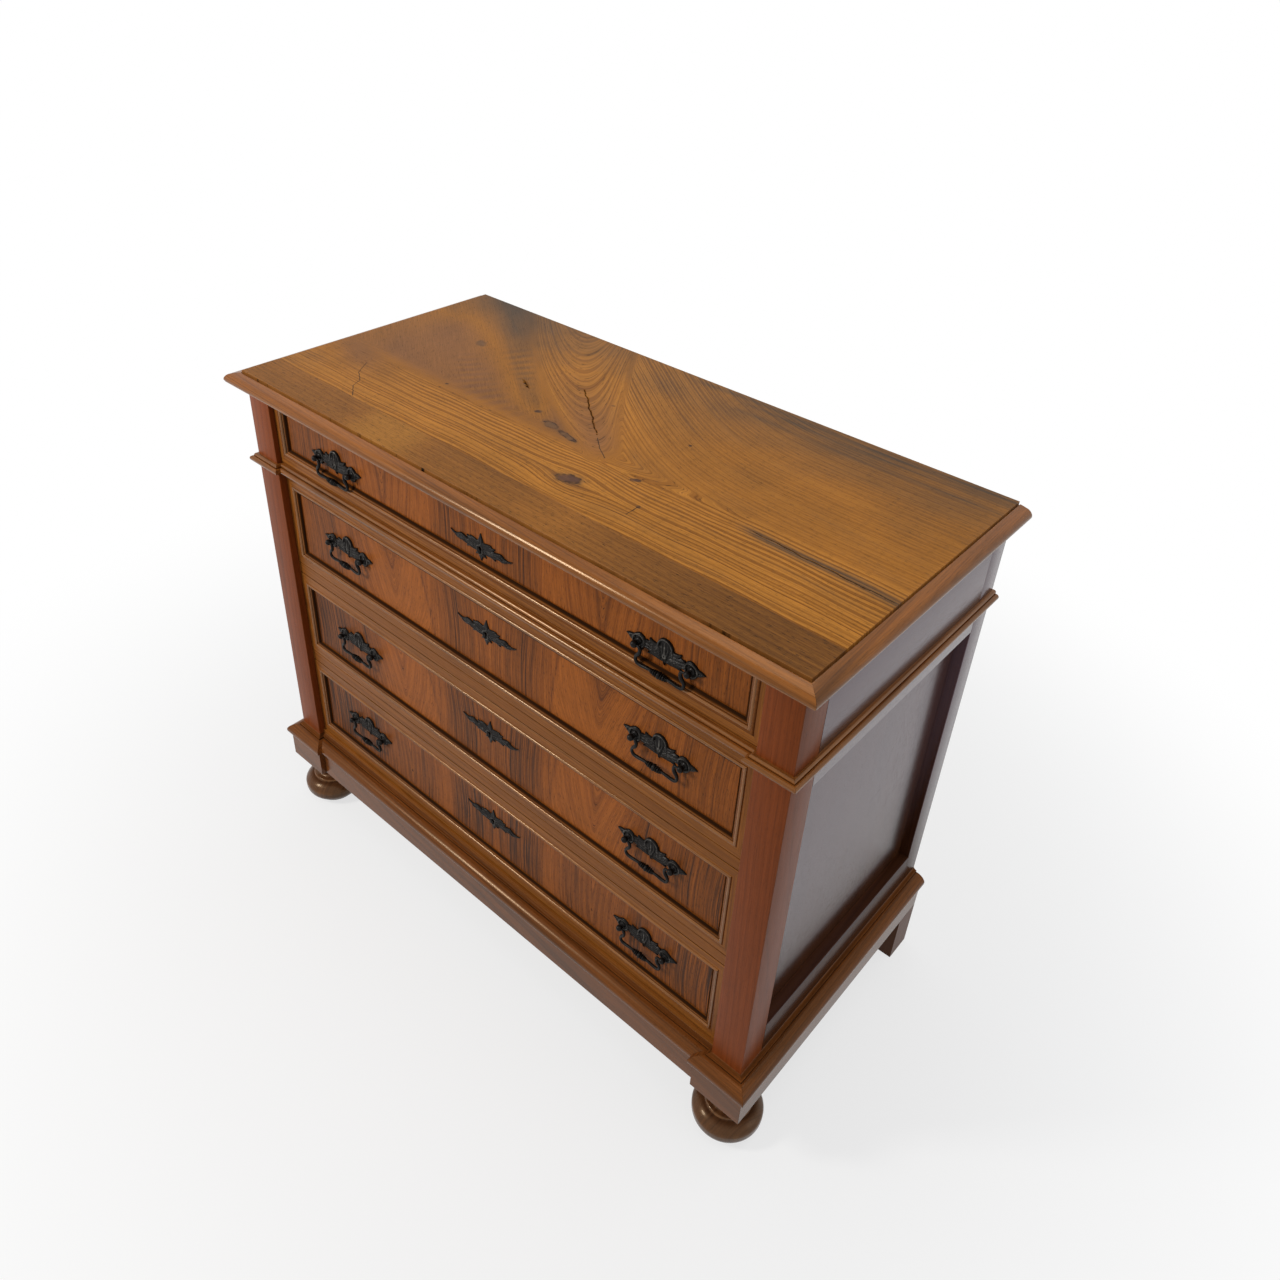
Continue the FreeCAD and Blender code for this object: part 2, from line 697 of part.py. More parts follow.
def draw_profile(sketch, profile):
    """Draw a closed profile of corners and arcs, each corner held at its two distances.

    A corner is (u, v) with lengths; a corner that an arc leads to also has the arc's radius
    and the side, +1 or -1, on which its centre lies to the direction of travel.
    """
    import Sketcher
    count = len(profile)
    for index, corner in enumerate(profile):
        previous = profile[index - 1]
        start = Vector(previous[0].value, previous[1].value, 0)
        end = Vector(corner[0].value, corner[1].value, 0)
        if len(corner) == 2:
            sketch.addGeometry(Part.LineSegment(start, end))
            continue
        radius, side = corner[2].value, corner[3]
        chord = end - start
        middle = (start + end) / 2
        across = Vector(-chord.y, chord.x, 0).normalize() * side
        centre = middle + across * math.sqrt(max(radius ** 2 - chord.Length ** 2 / 4, 0))
        bulge = centre - across * radius
        sketch.addGeometry(Part.Arc(start, bulge, end))
    for index, corner in enumerate(profile):
        point = end_of_edge(sketch, index, corner)
        for kind, place in (("DistanceX", corner[0]), ("DistanceY", corner[1])):
            number_of_rule = sketch.addConstraint(
                Sketcher.Constraint(kind, -1, 1, index, point, place.value))
            sketch.setExpression(f"Constraints[{number_of_rule}]", place.formula)
        following = (index + 1) % count
        start_point = start_of_edge(sketch, following, corner)
        sketch.addConstraint(Sketcher.Constraint("Coincident", index, point, following, start_point))
        if len(corner) == 4:
            rule = sketch.addConstraint(Sketcher.Constraint("Radius", index, corner[2].value))
            sketch.setExpression(f"Constraints[{rule}]", corner[2].formula)


def end_of_edge(sketch, index, corner):
    """Which end of an edge, 1 or 2, lies on a corner."""
    first = sketch.getPoint(index, 1)
    second = sketch.getPoint(index, 2)
    target = Vector(corner[0].value, corner[1].value, 0)
    return 1 if (first - target).Length < (second - target).Length else 2


def start_of_edge(sketch, index, corner):
    """Which end of the next edge starts at a corner."""
    return end_of_edge(sketch, index, corner)


def build_feet(model):
    """Two turned bun feet with spigots at the front and two block feet at the back."""
    s = model.sizes
    zero = s.bun_radius * 0
    rest = s.bun_base_height * 0
    bulge = (s.bun_top - s.bun_base_height) / 2
    waist = s.bun_top + s.bun_base_height * 0.75
    lower_step = s.bun_radius - s.bun_base_radius
    upper_step = s.bun_radius - s.bun_rim_radius
    lower_round = (lower_step * lower_step + bulge * bulge) / (lower_step * 2)
    upper_round = (upper_step * upper_step + bulge * bulge) / (upper_step * 2)
    profile = [
        (zero, rest),
        (s.bun_base_radius - s.bun_base_round, rest),
        (s.bun_base_radius, rest + s.bun_base_round),
        (s.bun_base_radius, s.bun_base_height),
        (s.bun_radius, s.bun_base_height + bulge, lower_round, 1),
        (s.bun_rim_radius, s.bun_top, upper_round, 1),
        (s.bun_rim_radius, s.bun_top + s.bun_rim_height),
        (s.bun_neck_radius, waist),
        (s.bun_neck_radius + s.bun_neck_spread, s.foot_height, (s.foot_height - waist) * 0.8, -1),
        (s.spigot_radius, s.foot_height),
        (s.spigot_radius, s.foot_height + s.spigot_length),
        (zero, s.foot_height + s.spigot_length),
    ]
    for label, centre in (("left", -s.bun_centre_x), ("right", s.bun_centre_x)):
        foot = revolved_body(model, f"bun_foot_{label}_body", profile,
                             (centre, s.bun_centre_y, rest))
        model.finish_node(foot, f"bun_foot_{label}")
    outer = s.body + s.plinth_thickness
    inner = outer - s.rear_foot_width
    blocks = []
    for label, low_x, high_x in (("left", -outer, -inner), ("right", inner, outer)):
        blocks.append(model.board(f"rear_foot_{label}", (low_x, s.back - s.rear_foot_depth, rest),
                                  (high_x, s.back, s.foot_height)))
    model.finish_node(model.group("rear_feet_parts", blocks), "rear_feet")


class Drawer:
    """One drawer: its opening, its plane and the widths of its framed front."""

    def __init__(self, model, index):
        s = model.sizes
        self.model = model
        self.sizes = s
        self.name = f"drawer_{index}"
        if index == 1:
            self.floor = s.waist_top
            self.ceiling = s.underside
            self.plane = s.face + s.waist_recess
            self.side_top = s.top_rail_bottom - s.running_gap * 6
            self.frame_side = s.top_frame_side
            self.frame_rail = s.top_frame_rail
            self.handle_below = s.top_handle_below
            self.tails = TOP_DRAWER_TAIL_COUNT
        else:
            self.floor = s.base_top + s.pitch * (4 - index)
            self.ceiling = self.floor + s.drawer_opening
            self.plane = s.face + s.front_recess
            self.side_top = self.ceiling - s.side_headroom
            self.frame_side = s.frame_side
            self.frame_rail = s.frame_rail
            self.handle_below = s.handle_below
            self.tails = LOWER_DRAWER_TAIL_COUNT
        self.front_back = self.plane + s.front_thickness
        self.half = s.opening - s.drawer_gap
        self.front_bottom = self.floor + s.drawer_gap
        self.front_top = self.ceiling - s.drawer_gap
        self.side_bottom = self.floor + s.running_gap
        self.box_back = s.back_rail_front - s.back_space
        self.inner = self.half - s.side_thickness
        self.panel_plane = self.plane + s.panel_sink
        self.keyhole_level = self.front_top - s.lock_backset
        self.pivot_level = self.front_top - self.handle_below

    def build(self):
        """Make every node of the drawer."""
        s = self.sizes
        m = self.model
        bottom_low = (-self.inner - s.bottom_groove, self.front_back - s.groove_depth,
                      self.side_bottom + s.bottom_lift)
        bottom_high = (self.inner + s.bottom_groove, self.box_back - s.drawer_tail,
                       self.side_bottom + s.bottom_lift + s.bottom_thickness)
        bottom = m.board(f"{self.name}_bottom_board", bottom_low, bottom_high)
        groove = m.grown_board(f"{self.name}_bottom_groove", bottom_low, bottom_high, s.joint_play)
        m.finish_node(bottom, f"{self.name}_bottom")
        sides = self.build_box(groove, bottom_high[2])
        self.build_front(sides, groove)
        self.build_lock()
        self.build_escutcheon()
        self.build_handles()

    def build_box(self, groove, back_bottom):
        """The two sides with their tails, and the back housed between them."""
        s = self.sizes
        m = self.model
        back_end = self.box_back - s.drawer_tail
        back_low = (-self.inner - s.bottom_groove, back_end - s.drawer_back_thickness, back_bottom)
        back_high = (self.inner + s.bottom_groove, back_end, self.side_top - s.drawer_back_drop)
        back = m.board(f"{self.name}_back_board", back_low, back_high)
        dado = m.grown_board(f"{self.name}_back_dado", back_low, back_high, s.joint_play)
        sides = []
        for label, low_x, high_x in (("left", -self.half, -self.inner), ("right", self.inner, self.half)):
            blank = m.board(f"{self.name}_side_{label}_board", (low_x, self.front_back, self.side_bottom),
                            (high_x, self.box_back, self.side_top))
            tails = [self.tail(label, low_x, count) for count in range(self.tails)]
            joined = m.fuse(f"{self.name}_side_{label}_blank", [blank] + tails)
            sides.append(m.cut(f"{self.name}_side_{label}", joined, [groove, dado]))
        m.finish_node(m.group(f"{self.name}_box_parts", sides + [back]), f"{self.name}_box")
        return sides

    def tail(self, label, low_x, count):
        """One dovetail: it widens from the side's shoulder towards the drawer front."""
        s = self.sizes
        length = s.front_thickness - s.dovetail_lap
        pitch = (self.side_top - self.front_bottom) / self.tails
        centre = self.front_bottom + pitch * (count + 0.5)
        half_wide = pitch * TAIL_SHARE_OF_PITCH / 2
        half_narrow = half_wide - length / s.dovetail_slope
        wedge = self.model.doc.addObject("Part::Wedge", f"{self.name}_tail_{label}_{count + 1}")
        zero = s.side_thickness * 0
        for prop, place in (("Xmin", zero), ("X2min", zero), ("Xmax", s.side_thickness),
                            ("X2max", s.side_thickness), ("Ymin", zero), ("Ymax", length),
                            ("Zmin", -half_wide), ("Zmax", half_wide),
                            ("Z2min", -half_narrow), ("Z2max", half_narrow)):
            wedge.setExpression(prop, place.formula)
        for axis_name, place in zip("xyz", (low_x, self.plane + s.dovetail_lap, centre)):
            wedge.setExpression("Placement.Base." + axis_name, place.formula)
        return wedge

    def build_front(self, sides, groove):
        """The front board with its sunk panel, sockets, lock mortise and mitred bead."""
        s = self.sizes
        m = self.model
        blank = m.board(f"{self.name}_front_blank", (-self.half, self.plane, self.front_bottom),
                        (self.half, self.front_back, self.front_top))
        sunk_x = self.half - self.frame_side
        sunk_low = self.front_bottom + self.frame_rail
        sunk_high = self.front_top - self.frame_rail
        sink = m.board(f"{self.name}_panel_sink", (-sunk_x, self.plane, sunk_low),
                       (sunk_x, self.panel_plane, sunk_high))
        mortise = m.board(f"{self.name}_lock_mortise",
                          (-s.lock_width / 2, self.front_back - s.lock_depth,
                           self.front_top - s.lock_height),
                          (s.lock_width / 2, self.front_back, self.front_top))
        tools = [sink, groove, mortise] + self.keyhole(self.panel_plane, self.front_back, "front")
        board = m.cut(f"{self.name}_front_board", blank, tools + sides)
        profile = self.bead_profile()
        level = self.panel_plane.value
        low, high, side = sunk_low.value, sunk_high.value, sunk_x.value
        path = [Vector(side, level, low), Vector(-side, level, low),
                Vector(-side, level, high), Vector(side, level, high)]
        strips = mitred_strips(profile, path, -Y_AXIS, closed=True)
        bead = m.feature(f"{self.name}_bead", Part.makeCompound(strips))
        m.finish_node(m.group(f"{self.name}_front_parts", [board, bead]), f"{self.name}_front")

    def bead_profile(self):
        """Section of the bead: a round crest by the frame, then a hollow down to the panel."""
        s = self.sizes
        width = s.bead_width.value
        frame = s.panel_sink.value
        crest = frame + s.bead_crest.value
        profile = Outline(0, 0)
        profile.line(0, frame)
        profile.arc(0.22 * width, crest, 0.45 * width, 0.85 * frame)
        profile.line(0.52 * width, 0.85 * frame)
        profile.arc(0.78 * width, 0.6 * frame, width, 0.2 * frame)
        profile.line(width, 0)
        return profile.face()

    def keyhole(self, front, back, name):
        """A round hole with a slot below it, through a plate or board."""
        s = self.sizes
        m = self.model
        zero = s.keyhole_radius * 0
        turn = Rotation(X_AXIS, -90)
        hole = m.cylinder(f"{self.name}_{name}_keyhole", s.keyhole_radius, back - front,
                          (zero, front, self.keyhole_level), turn)
        half = s.keyhole_slot_width / 2
        slot = m.board(f"{self.name}_{name}_key_slot",
                       (-half, front, self.keyhole_level - s.keyhole_slot),
                       (half, back, self.keyhole_level))
        return [hole, slot]

    def build_lock(self):
        """A cased lock let into the back of the front, with a bolt that rises out of its top."""
        s = self.sizes
        m = self.model
        case = m.board(f"{self.name}_lock_case",
                       (-s.lock_width / 2, self.front_back - s.lock_depth,
                        self.front_top - s.lock_height),
                       (s.lock_width / 2, self.front_back, self.front_top))
        half = s.bolt_width / 2
        middle = self.front_back - s.lock_depth / 2
        bolt_low = (-half, middle - s.bolt_thickness / 2, self.front_top - s.bolt_height)
        bolt_high = (half, middle + s.bolt_thickness / 2, self.front_top - s.bolt_play)
        room = m.board(f"{self.name}_bolt_room",
                       [corner - s.bolt_play for corner in bolt_low],
                       (bolt_high[0] + s.bolt_play, bolt_high[1] + s.bolt_play, self.front_top))
        holes = self.keyhole(self.front_back - s.lock_depth, self.front_back, "lock")
        m.finish_node(m.cut(f"{self.name}_lock_body", case, [room] + holes), f"{self.name}_lock")
        bolt = m.board(f"{self.name}_bolt_blank", bolt_low, bolt_high)
        m.finish_node(bolt, f"{self.name}_lock_bolt")

    def build_escutcheon(self):
        """A pierced plate round the keyhole, pointed above and below, with leafy arms."""
        s = self.sizes
        wide = s.escutcheon_width.value / 126
        tall = s.escutcheon_height.value / 45
        half = Outline(0, 24 * tall)
        half.arc(4 * wide, 16 * tall, 10 * wide, 11.5 * tall)
        half.arc(18 * wide, 13 * tall, 28 * wide, 10.5 * tall)
        half.line(31 * wide, 7.5 * tall)
        half.arc(41 * wide, 8.5 * tall, 50 * wide, 3.5 * tall)
        half.arc(56 * wide, 2.5 * tall, 63 * wide, 5.5 * tall)
        half.arc(54 * wide, -1.5 * tall, 44 * wide, -4.5 * tall)
        half.line(37 * wide, -4 * tall)
        half.arc(28 * wide, -9.5 * tall, 18 * wide, -8 * tall)
        half.line(9 * wide, -12 * tall)
        half.line(0, -21 * tall)
        thickness = s.escutcheon_thickness.value
        plate = mirrored_face(half).extrude(-Y_AXIS * thickness)
        blank = self.model.feature(f"{self.name}_escutcheon_blank", plate,
                                   Vector(0, self.panel_plane.value, self.keyhole_level.value))
        holes = self.keyhole(self.panel_plane - s.escutcheon_thickness, self.panel_plane, "plate")
        pierced = self.model.cut(f"{self.name}_escutcheon_plate", blank, holes)
        self.model.finish_node(pierced, f"{self.name}_escutcheon")

    def build_handles(self):
        """Two back plates with their ball posts, and a bail hung between each pair of balls."""
        s = self.sizes
        plates = []
        for label, centre in (("left", -s.handle_offset.value), ("right", s.handle_offset.value)):
            origin = Vector(centre, self.panel_plane.value, self.pivot_level.value)
            plate = self.plate_with_posts()
            plate.translate(origin)
            plates.append(plate)
            wire = self.model.feature(f"{self.name}_bail_{label}_wire", self.bail(), origin)
            self.model.finish_node(wire, f"{self.name}_bail_{label}")
        together = self.model.feature(f"{self.name}_plates", Part.makeCompound(plates))
        self.model.finish_node(together, f"{self.name}_handle_plates")

    def plate_with_posts(self):
        """A back plate with a shell crest and curled arms, and two posts with drilled balls."""
        s = self.sizes
        scale = s.plate_width.value / 125
        half = Outline(0, 25.5 * scale)
        half.arc(9 * scale, 22.5 * scale, 12.5 * scale, 14 * scale)
        half.line(14.5 * scale, 12 * scale)
        half.arc(19.5 * scale, 12.5 * scale, 24.5 * scale, 15 * scale)
        half.line(29 * scale, 9.5 * scale)
        half.arc(41 * scale, 13.5 * scale, 51 * scale, 6 * scale)
        half.arc(57 * scale, 5.5 * scale, 62.5 * scale, 3.5 * scale)
        half.arc(57 * scale, -2 * scale, 49 * scale, -4.5 * scale)
        half.arc(41 * scale, -12 * scale, 32 * scale, -7.5 * scale)
        half.line(27 * scale, -10.5 * scale)
        half.arc(19 * scale, -8 * scale, 11 * scale, -10.5 * scale)
        half.line(0, -15 * scale)
        thickness = s.plate_thickness.value
        plate = mirrored_face(half).extrude(-Y_AXIS * thickness)
        reach = s.post_reach.value
        hole_radius = s.pin_radius.value + s.pin_play.value
        for x in (-s.post_spacing.value / 2, s.post_spacing.value / 2):
            stem = Part.makeCylinder(s.post_radius.value, reach, Vector(x, 0, 0), -Y_AXIS)
            ball = Part.makeSphere(s.ball_radius.value, Vector(x, -reach, 0))
            plate = plate.fuse(stem).fuse(ball)
            bore = Part.makeCylinder(hole_radius, 4 * s.ball_radius.value,
                                     Vector(x - 2 * s.ball_radius.value, -reach, 0), X_AXIS)
            plate = plate.cut(bore)
        return plate.removeSplitter()

    def bail(self):
        """A drop bail: two pins in the balls, a waisted wire and a turned knop at the bottom.

        Each side drops, swings outwards in an S of two equal arcs and turns in to the bar.
        """
        s = self.sizes
        neck, wide = s.bail_neck.value, s.bail_half_width.value
        drop, wire = s.bail_drop.value, s.bail_radius.value
        shoulder = SHOULDER_IN_WIRES * wire
        corner = CORNER_IN_WIRES * wire
        s_top = -shoulder - STRAIGHT_IN_WIRES * wire
        s_bottom = -drop + corner
        s_turn = 2 * math.atan((wide - neck) / (s_top - s_bottom))
        s_radius = (s_top - s_bottom) / (2 * math.sin(s_turn))
        edges = []
        for side in (1, -1):
            points = [
                Vector(side * (neck + shoulder), 0, 0),
                Vector(side * neck, 0, -shoulder),
                Vector(side * neck, 0, s_top),
                Vector(side * (neck + wide) / 2, 0, (s_top + s_bottom) / 2),
                Vector(side * wide, 0, s_bottom),
                Vector(side * (wide - corner), 0, -drop),
                Vector(0, 0, -drop),
            ]
            slant = math.sqrt(0.5)
            half_turn = s_turn / 2
            sag = s_radius * (1 - math.cos(half_turn))
            lean = s_radius * math.sin(half_turn)
            run = [
                Part.Arc(points[0], Vector(side * (neck + shoulder * (1 - slant)), 0,
                                           -shoulder * (1 - slant)), points[1]),
                Part.LineSegment(points[1], points[2]),
                Part.Arc(points[2], Vector(side * (neck + sag), 0, s_top - lean), points[3]),
                Part.Arc(points[3], Vector(side * (wide - sag), 0, s_bottom + lean), points[4]),
                Part.Arc(points[4], Vector(side * (wide - corner * (1 - slant)), 0,
                                           s_bottom - corner * slant), points[5]),
                Part.LineSegment(points[5], points[6]),
            ]
            shapes = [piece.toShape() for piece in run]
            edges += shapes if side > 0 else shapes[::-1]
        path = Part.Wire(edges)
        start = path.OrderedVertexes[0].Point
        section = Part.Wire(Part.makeCircle(wire, start, X_AXIS))
        bail = path.makePipeShell([section], True, False)
        reach = s.post_reach.value
        pin_end = s.post_spacing.value / 2 + s.ball_radius.value + 1
        for side in (1, -1):
            inner = neck + shoulder - 0.5
            base = Vector(side * inner, 0, 0)
            bail = bail.fuse(Part.makeCylinder(s.pin_radius.value, pin_end - inner, base, X_AXIS * side))
        bail = bail.fuse(self.knop())
        return bail.transformed(FreeCAD.Matrix(1, 0, 0, 0, 0, 1, 0, -reach, 0, 0, 1, 0), True)

    def knop(self):
        """The turned knop in the middle of the bail's bar: a swelling between two collars."""
        s = self.sizes
        half = s.knop_length.value / 2
        swelling = half - s.knop_collar_width.value
        collar = s.bail_radius.value + s.knop_collar_rise.value
        groove = collar - s.knop_collar_step.value
        profile = Outline(-half, 0)
        profile.line(-half, collar)
        profile.line(-swelling, collar)
        profile.line(-swelling, groove)
        profile.arc(0, s.knop_radius.value, swelling, groove)
        profile.line(swelling, collar)
        profile.line(half, collar)
        profile.line(half, 0)
        knop = profile.face().revolve(Vector(), X_AXIS, 360)
        knop.translate(Vector(0, 0, -s.bail_drop.value))
        return knop


def check_and_write(model):
    """Stop on any failed object or faulty shape, then write one STEP file for each node."""
    for obj in model.doc.Objects:
        if "Invalid" in obj.State or "Error" in obj.State:
            raise RuntimeError(f"{obj.Name} did not build: {obj.State}")
    for obj in model.nodes:
        if obj.Shape.isNull() or not obj.Shape.isValid():
            raise RuntimeError(f"{obj.Label} has a faulty shape")
        if not obj.Shape.Solids:
            raise RuntimeError(f"{obj.Label} holds no solid")
    os.makedirs("parts", exist_ok=True)
    for obj in model.nodes:
        obj.Shape.exportStep(os.path.join("parts", f"{obj.Label}.step"))
        box = obj.Shape.BoundBox
        print(f"{obj.Label}: {len(obj.Shape.Solids)} solids, "
              f"{box.XLength:.1f} x {box.YLength:.1f} x {box.ZLength:.1f} mm")


def main():
    """Draw the whole chest and write its nodes."""
    model = Model()
    build_top(model)
    build_carcass(model)
    build_back(model)
    build_runners(model)
    build_waist(model)
    build_plinth(model)
    build_feet(model)
    for index in (1, 2, 3, 4):
        Drawer(model, index).build()
    model.doc.recompute()
    check_and_write(model)


main()
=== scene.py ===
"""Walnut bachelors chest: the dressed model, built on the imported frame.

Every length is in metres, in the frame's own axes: x to the right, y to the back, z up.
"""

import json
import logging
import math
from dataclasses import dataclass, field
from enum import Enum
from functools import cache
from typing import Callable, Iterable, Sequence

import bpy
import numpy as np
from mathutils import Matrix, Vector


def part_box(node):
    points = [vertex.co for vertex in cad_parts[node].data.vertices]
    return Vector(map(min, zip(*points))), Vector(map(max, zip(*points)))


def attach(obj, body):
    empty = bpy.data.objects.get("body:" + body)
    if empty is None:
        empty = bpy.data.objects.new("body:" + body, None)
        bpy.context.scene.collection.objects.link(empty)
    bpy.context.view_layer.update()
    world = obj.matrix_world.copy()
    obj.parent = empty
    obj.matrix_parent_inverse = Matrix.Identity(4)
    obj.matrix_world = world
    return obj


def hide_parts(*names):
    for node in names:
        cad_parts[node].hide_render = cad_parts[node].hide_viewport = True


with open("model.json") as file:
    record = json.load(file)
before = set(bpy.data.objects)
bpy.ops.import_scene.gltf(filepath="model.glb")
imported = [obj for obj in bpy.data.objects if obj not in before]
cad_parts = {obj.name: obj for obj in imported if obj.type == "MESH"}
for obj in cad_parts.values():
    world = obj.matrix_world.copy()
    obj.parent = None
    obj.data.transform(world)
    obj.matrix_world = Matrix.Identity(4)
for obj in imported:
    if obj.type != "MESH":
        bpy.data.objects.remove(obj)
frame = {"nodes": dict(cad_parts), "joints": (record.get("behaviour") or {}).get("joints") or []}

Array = np.ndarray
Colour = tuple[float, float, float]
LOG = logging.getLogger("chest")
MM = 0.001


# ---------------------------------------------------------------- shapes


@dataclass(frozen=True)
class Plane:
    """A flat drawing plane: u and v lie in it and w points out of it, with u x v = w."""

    u: Array
    v: Array
    w: Array

    def place(self, u: Array, v: Array, w: Array) -> Array:
        """Turn drawing coordinates into points of the frame.

        Args:
            u: Distances along the first axis.
            v: Distances along the second axis.
            w: Distances out of the plane.

        Returns:
            The points, with x, y and z in the last axis.
        """
        u, v, w = np.broadcast_arrays(u, v, w)
        return u[..., None] * self.u + v[..., None] * self.v + w[..., None] * self.w


X, Y, Z = np.eye(3)
FRONT = Plane(X, Z, -Y)
TOP = Plane(X, Y, Z)
RIGHT = Plane(Y, Z, X)
LEFT = Plane(-Y, Z, -X)


class Along(Enum):
    """The axis that the grain of a piece runs along, with the order of the grain coordinates."""

    X = (0, 1, 2)
    Y = (1, 0, 2)
    Z = (2, 0, 1)


@dataclass
class Shell:
    """Closed surfaces collected for one piece, with the grain coordinates of each point.

    grain holds along, across and through the board; heart is 1 where dark heartwood shows and below
    0 where the wood is bright, and on the top and the drawer panels it also carries painted shade;
    wear is above 0 where the edge is rubbed, and on the bun feet it also paints highlights; it is
    below 0 where grime lies and where shade is painted into hollows, recesses and undersides;
    calm is 1 where the rings fade.
    """

    points: list[Array] = field(default_factory=list)
    faces: list[list[int]] = field(default_factory=list)
    grain: list[Array] = field(default_factory=list)
    heart: list[Array] = field(default_factory=list)
    wear: list[Array] = field(default_factory=list)
    calm: list[Array] = field(default_factory=list)
    count: int = 0

    def add(
        self,
        points: Array,
        faces: list[list[int]],
        grain: Array,
        heart: Array | float = 0.0,
        wear: Array | float = 0.0,
        calm: Array | float = 0.0,
    ) -> None:
        """Add one closed surface and turn it outwards.

        Args:
            points: Points, one row each.
            faces: Corner indexes of each face, all wound the same way.
            grain: Grain coordinates, one row for each point.
            heart: Share of heartwood at each point, with painted shade on some pieces.
            wear: Wear or grime at each point, with painted shade and painted highlights on some pieces.
            calm: Fading of the rings at each point.
        """
        fans = [(f[0], f[i], f[i + 1]) for f in faces for i in range(1, len(f) - 1)]
        a, b, c = (points[np.array(corner)] for corner in zip(*fans))
        if np.einsum("ij,ij->", a, np.cross(b, c)) < 0:
            faces = [f[::-1] for f in faces]
        self.points.append(points)
        self.faces += [[i + self.count for i in f] for f in faces]
        self.grain.append(grain)
        self.heart.append(np.broadcast_to(heart, len(points)))
        self.wear.append(np.broadcast_to(wear, len(points)))
        self.calm.append(np.broadcast_to(calm, len(points)))
        self.count += len(points)

    def tube(
        self,
        loops: Array,
        grain: Array,
        heart: Array | float = 0.0,
        wear: Array | float = 0.0,
    ) -> None:
        """Add a closed tube: loops of points joined one to the next, with a face at each end.

        Args:
            loops: Points, by place along the tube and place round it.
            grain: Grain coordinates with the same layout.
            heart: Heartwood, one value for each point or for all.
            wear: Wear, grime, painted shade and painted highlights, one value for each point or for all.
        """
        rows, around = loops.shape[:2]
        index = np.arange(rows * around).reshape(rows, around)
        low, high = index[:-1], index[1:]
        quads = np.stack([low, np.roll(low, -1, 1), np.roll(high, -1, 1), high], -1)
        faces = quads.reshape(-1, 4).tolist()
        faces += [index[0, ::-1].tolist(), index[-1].tolist()]
        levels = [np.broadcast_to(v, (rows, around)).ravel() for v in (heart, wear)]
        self.add(loops.reshape(-1, 3), faces, grain.reshape(-1, 3), *levels)

    def slab(
        self,
        points: Array,
        base: Array,
        grain: Array,
        heart: Array | float = 0.0,
        wear: Array | float = 0.0,
        calm: Array | float = 0.0,
        carved: bool = False,
    ) -> None:
        """Add a modelled face, its four walls and a back, flat or carved.

        Args:
            points: The face's points, by place along u and along v.
            base: The same points moved down to the back.
            grain: Grain coordinates of the face's points.
            heart: Heartwood, with painted shade on some pieces, at the face's points.
            wear: Wear, grime and painted shade at the face's points.
            calm: Fading of the rings at the face's points.
            carved: Draw the back point for point, as the base gives it.
        """
        rows, columns = points.shape[:2]
        index = np.arange(rows * columns).reshape(rows, columns)
        quads = np.stack([index[:-1, :-1], index[1:, :-1], index[1:, 1:], index[:-1, 1:]], -1)
        rim = np.concatenate([index[:, 0], index[-1, 1:], index[-2::-1, -1], index[0, -2:0:-1]])
        kept = index.ravel() if carved else rim
        back = rows * columns + (rim if carved else np.arange(len(rim)))
        walls = np.stack([rim, back, np.roll(back, -1), np.roll(rim, -1)], -1)
        under = [back[::-1].tolist()]
        if carved:
            under = (rows * columns + quads[..., ::-1]).reshape(-1, 4).tolist()
        levels = [np.broadcast_to(v, (rows, columns)).ravel() for v in (heart, wear, calm)]
        self.add(
            np.concatenate([points.reshape(-1, 3), base.reshape(-1, 3)[kept]]),
            quads.reshape(-1, 4).tolist() + walls.tolist() + under,
            np.concatenate([grain.reshape(-1, 3), grain.reshape(-1, 3)[kept]]),
            *(np.concatenate([level, level[kept]]) for level in levels),
        )

    def piece(
        self,
        name: str,
        body: str,
        finish: "Finish",
        replaces: Sequence[str] = (),
        crease: float = 32.0,
    ) -> bpy.types.Object:
        """Make the mesh object, dress it and let it ride on its body.

        Args:
            name: Name of the piece.
            body: Body of the frame that the piece moves with.
            finish: Finish of its surface.
            replaces: Nodes of the frame that it stands for.
            crease: Angle in degrees over which an edge stays sharp.

        Returns:
            The new object.
        """
        mesh = bpy.data.meshes.new(name)
        mesh.from_pydata(np.concatenate(self.points).tolist(), [], self.faces)
        for label, kind, values in (
            ("grain", "FLOAT_VECTOR", self.grain),
            ("heart", "FLOAT", self.heart),
            ("wear", "FLOAT", self.wear),
            ("calm", "FLOAT", self.calm),
        ):
            attribute = mesh.attributes.new(label, kind, "POINT")
            key = "vector" if kind == "FLOAT_VECTOR" else "value"
            attribute.data.foreach_set(key, np.concatenate(values).astype(np.float32).ravel())
        mesh.polygons.foreach_set("use_smooth", np.ones(len(mesh.polygons), bool))
        mesh.set_sharp_from_angle(angle=math.radians(crease))
        mesh.materials.append(finish.material())
        made = bpy.data.objects.new(name, mesh)
        bpy.context.scene.collection.objects.link(made)
        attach(made, body)
        if replaces:
            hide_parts(*replaces)
        LOG.info("%s: %d faces, rides on %s", name, len(mesh.polygons), body)
        return made


def grain_of(points: Array, along: Along, shift: Sequence[float] = (0.0, 0.0, 0.0)) -> Array:
    """Grain coordinates of a straight board: its own axes, moved so that no two boards match.

    Args:
        points: Points of the board.
        along: Axis that the grain runs along.
        shift: Move of the grain coordinates.

    Returns:
        Grain coordinates, with the shape of the points.
    """
    return points[..., list(along.value)] + np.asarray(shift, float)


